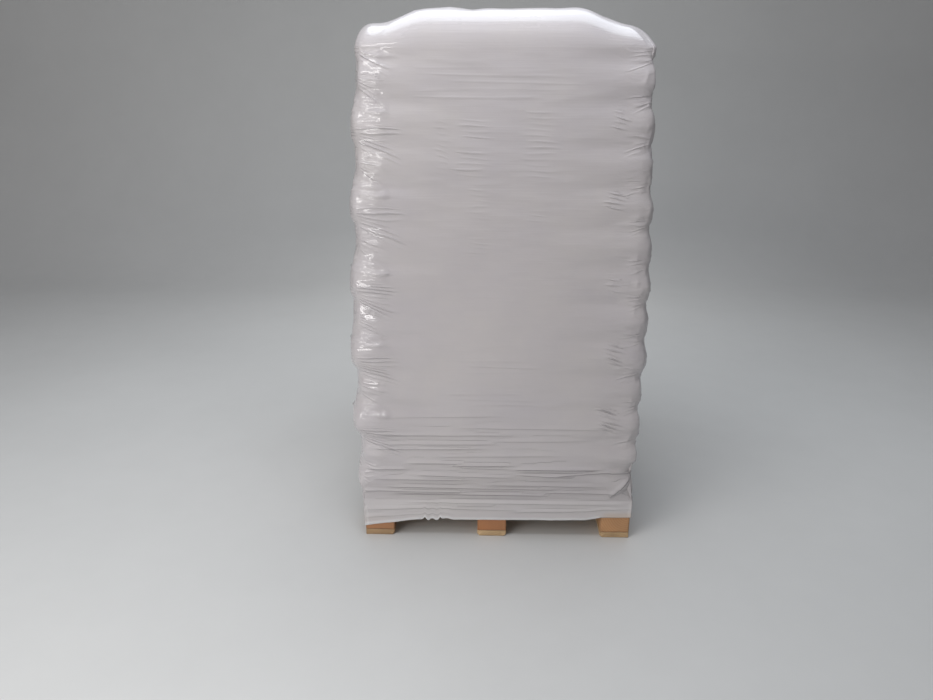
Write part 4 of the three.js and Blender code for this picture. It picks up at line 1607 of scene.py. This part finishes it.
def nail_tree():
    """Geometry Nodes that set a slightly sunk nail head on every point."""
    inputs = [("Geometry", "Geometry"), ("Head", "Float"), ("Thickness", "Float"), ("Seed", "Int"),
              ("Material", "Material")]
    nodes, given, out = new_tree("Nail heads", inputs, [("Geometry", "Geometry")], "GeometryNodeTree")
    radius = nodes.times(given["Head"], 0.5)
    head = nodes.add("GeometryNodeMeshCone", {"Vertices": 12, "Radius Bottom": radius,
                                              "Radius Top": nodes.times(radius, 0.82),
                                              "Depth": given["Thickness"]})
    tip = nodes.random((-0.06, -0.06, 0.0), (0.06, 0.06, 3.1), given["Seed"])
    nodes.on_points(given, out, {"Instance": head.outputs["Mesh"], "Rotation": tip})
    return nodes.tree


def nail_places():
    """Two nails in every deck board over each stringer."""
    places = []
    for board in DECK_NODES:
        low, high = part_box(board)
        for stringer in STRINGER_NODES:
            near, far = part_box(stringer)
            for share_x, share_y in NAIL_SPOTS:
                x = low.x + share_x * (high.x - low.x)
                places.append((x, near.y + share_y * (far.y - near.y), high.z - NAIL_SUNK))
    return places


def nail_finish(nodes):
    """Dull steel with rust in blotches."""
    rust = nodes.ramp(nodes.noise(nodes.place(), 260.0, 4.0, 0.7), 0.42, 0.62)
    return {"Base Color": nodes.blend(rust, STEEL_COLOUR, RUST_COLOUR),
            "Metallic": nodes.ramp(rust, 0.0, 1.0, 0.9, 0.15),
            "Roughness": nodes.ramp(rust, 0.0, 1.0, 0.4, 0.85)}


class SACKS_OT_nails(Operator):
    """Drive the nails of the deck"""

    bl_idname = "sacks.nails"
    bl_label = "Nails"

    def execute(self, context):
        nails = mesh_object("deck_nails", nail_places(), [])
        values = {"Head": context.scene.sacks_timber.nail, "Thickness": NAIL_HEIGHT, "Seed": 3,
                  "Material": new_material("Nail steel", nail_finish)}
        run_nodes(nails, nail_tree(), values)
        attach(nails, BODY)
        return {"FINISHED"}


# Studio


def floor_finish(nodes, colour):
    """Plain matt floor with faint blotches."""
    clouds = nodes.group("Cloudiness", {"Vector": nodes.place(), "Scale": 1.2})["Value"]
    return {"Base Color": nodes.blend(clouds, rgba(colour), rgba(colour, (0.95, 0.95, 0.95))),
            "Roughness": 0.7}


def sweep_mesh():
    """A floor that turns up into a wall behind the load."""
    half, front, bend, back, top = 9.0, -7.0, 1.6, 4.4, 6.0
    profile = [(front, 0.0), (back - bend, 0.0)]
    for step in range(1, 13):
        angle = math.pi / 2 * step / 12
        profile.append((back - bend + bend * math.sin(angle), bend - bend * math.cos(angle)))
    profile.append((back, top))
    points = [(x, y, z) for y, z in profile for x in (-half, half)]
    faces = [(2 * k, 2 * k + 1, 2 * k + 3, 2 * k + 2) for k in range(len(profile) - 1)]
    made = mesh_object("studio_sweep", points, faces)
    smooth(made)
    return made


def area_light(name, power, size, place, target, colour, mirrored):
    """A rectangle of light at a place, turned to a target, seen in the film's shine only where mirrored."""
    data = bpy.data.lights.new(name, "AREA")
    data.shape = "RECTANGLE"
    data.size, data.size_y = size
    data.energy = power
    data.color = colour
    lamp = scene_object(name, data)
    lamp.location = place
    lamp.visible_glossy = mirrored
    x, y, z = (t - p for t, p in zip(target, place))
    lamp.rotation_euler = (math.atan2(math.hypot(x, y), -z), 0.0, math.atan2(-x, y))


class SACKS_OT_studio(Operator):
    """Set the floor, the light and the camera"""

    bl_idname = "sacks.studio"
    bl_label = "Studio"

    def execute(self, context):
        settings = context.scene.sacks_studio
        sweep = sweep_mesh()
        sweep.data.materials.append(new_material("Pale floor", floor_finish, settings.floor))
        data = bpy.data.cameras.new("photo_camera")
        data.lens = settings.lens
        data.sensor_width = 36.0
        camera = scene_object("photo_camera", data)
        camera.location = settings.eye
        camera.rotation_euler = (settings.tilt, 0.0, settings.turn)
        context.scene.camera = camera
        for name, (power, share, *placing) in LIGHTS.items():
            area_light(name, share * getattr(settings, power), *placing)
        world = bpy.data.worlds.new("Soft room")
        world.use_nodes = True
        room = world.node_tree.nodes["Background"].inputs
        room["Color"].default_value = (0.98, 0.97, 1.0, 1.0)
        room["Strength"].default_value = 0.22
        context.scene.world = world
        context.scene.view_settings.view_transform = "Standard"
        return {"FINISHED"}


class SACKS_PT_panel(Panel):
    """Sizes, colours and steps of the hooded pallet"""

    bl_label = "Hooded pallet of sacks"
    bl_idname = "SACKS_PT_panel"
    bl_space_type = "VIEW_3D"
    bl_region_type = "UI"
    bl_category = "Sacks"

    def draw(self, context):
        for operator, group in STEPS:
            column = self.layout.column(align=True)
            column.operator(operator)
            settings = getattr(context.scene, group)
            for name in settings.__annotations__:
                column.prop(settings, name)


STEPS = [("sacks.pallet", "sacks_timber"), ("sacks.nails", "sacks_timber"), ("sacks.sacks", "sacks_filled"),
         ("sacks.hood", "sacks_hood"), ("sacks.studio", "sacks_studio")]
GROUPS = {"sacks_hood": HoodSettings, "sacks_filled": SackSettings, "sacks_timber": TimberSettings,
          "sacks_studio": StudioSettings}
CLASSES = [*GROUPS.values(), SACKS_OT_pallet, SACKS_OT_nails, SACKS_OT_sacks, SACKS_OT_hood, SACKS_OT_studio,
           SACKS_PT_panel]


def register():
    for item in CLASSES:
        bpy.utils.register_class(item)
    for name, kind in GROUPS.items():
        setattr(bpy.types.Scene, name, PointerProperty(type=kind))


def unregister():
    for name in GROUPS:
        delattr(bpy.types.Scene, name)
    for item in reversed(CLASSES):
        bpy.utils.unregister_class(item)


def main():
    register()
    bpy.ops.sacks.pallet()
    bpy.ops.sacks.nails()
    bpy.ops.sacks.sacks()
    bpy.ops.sacks.hood()
    bpy.ops.sacks.studio()


if __name__ == "__main__":
    main()
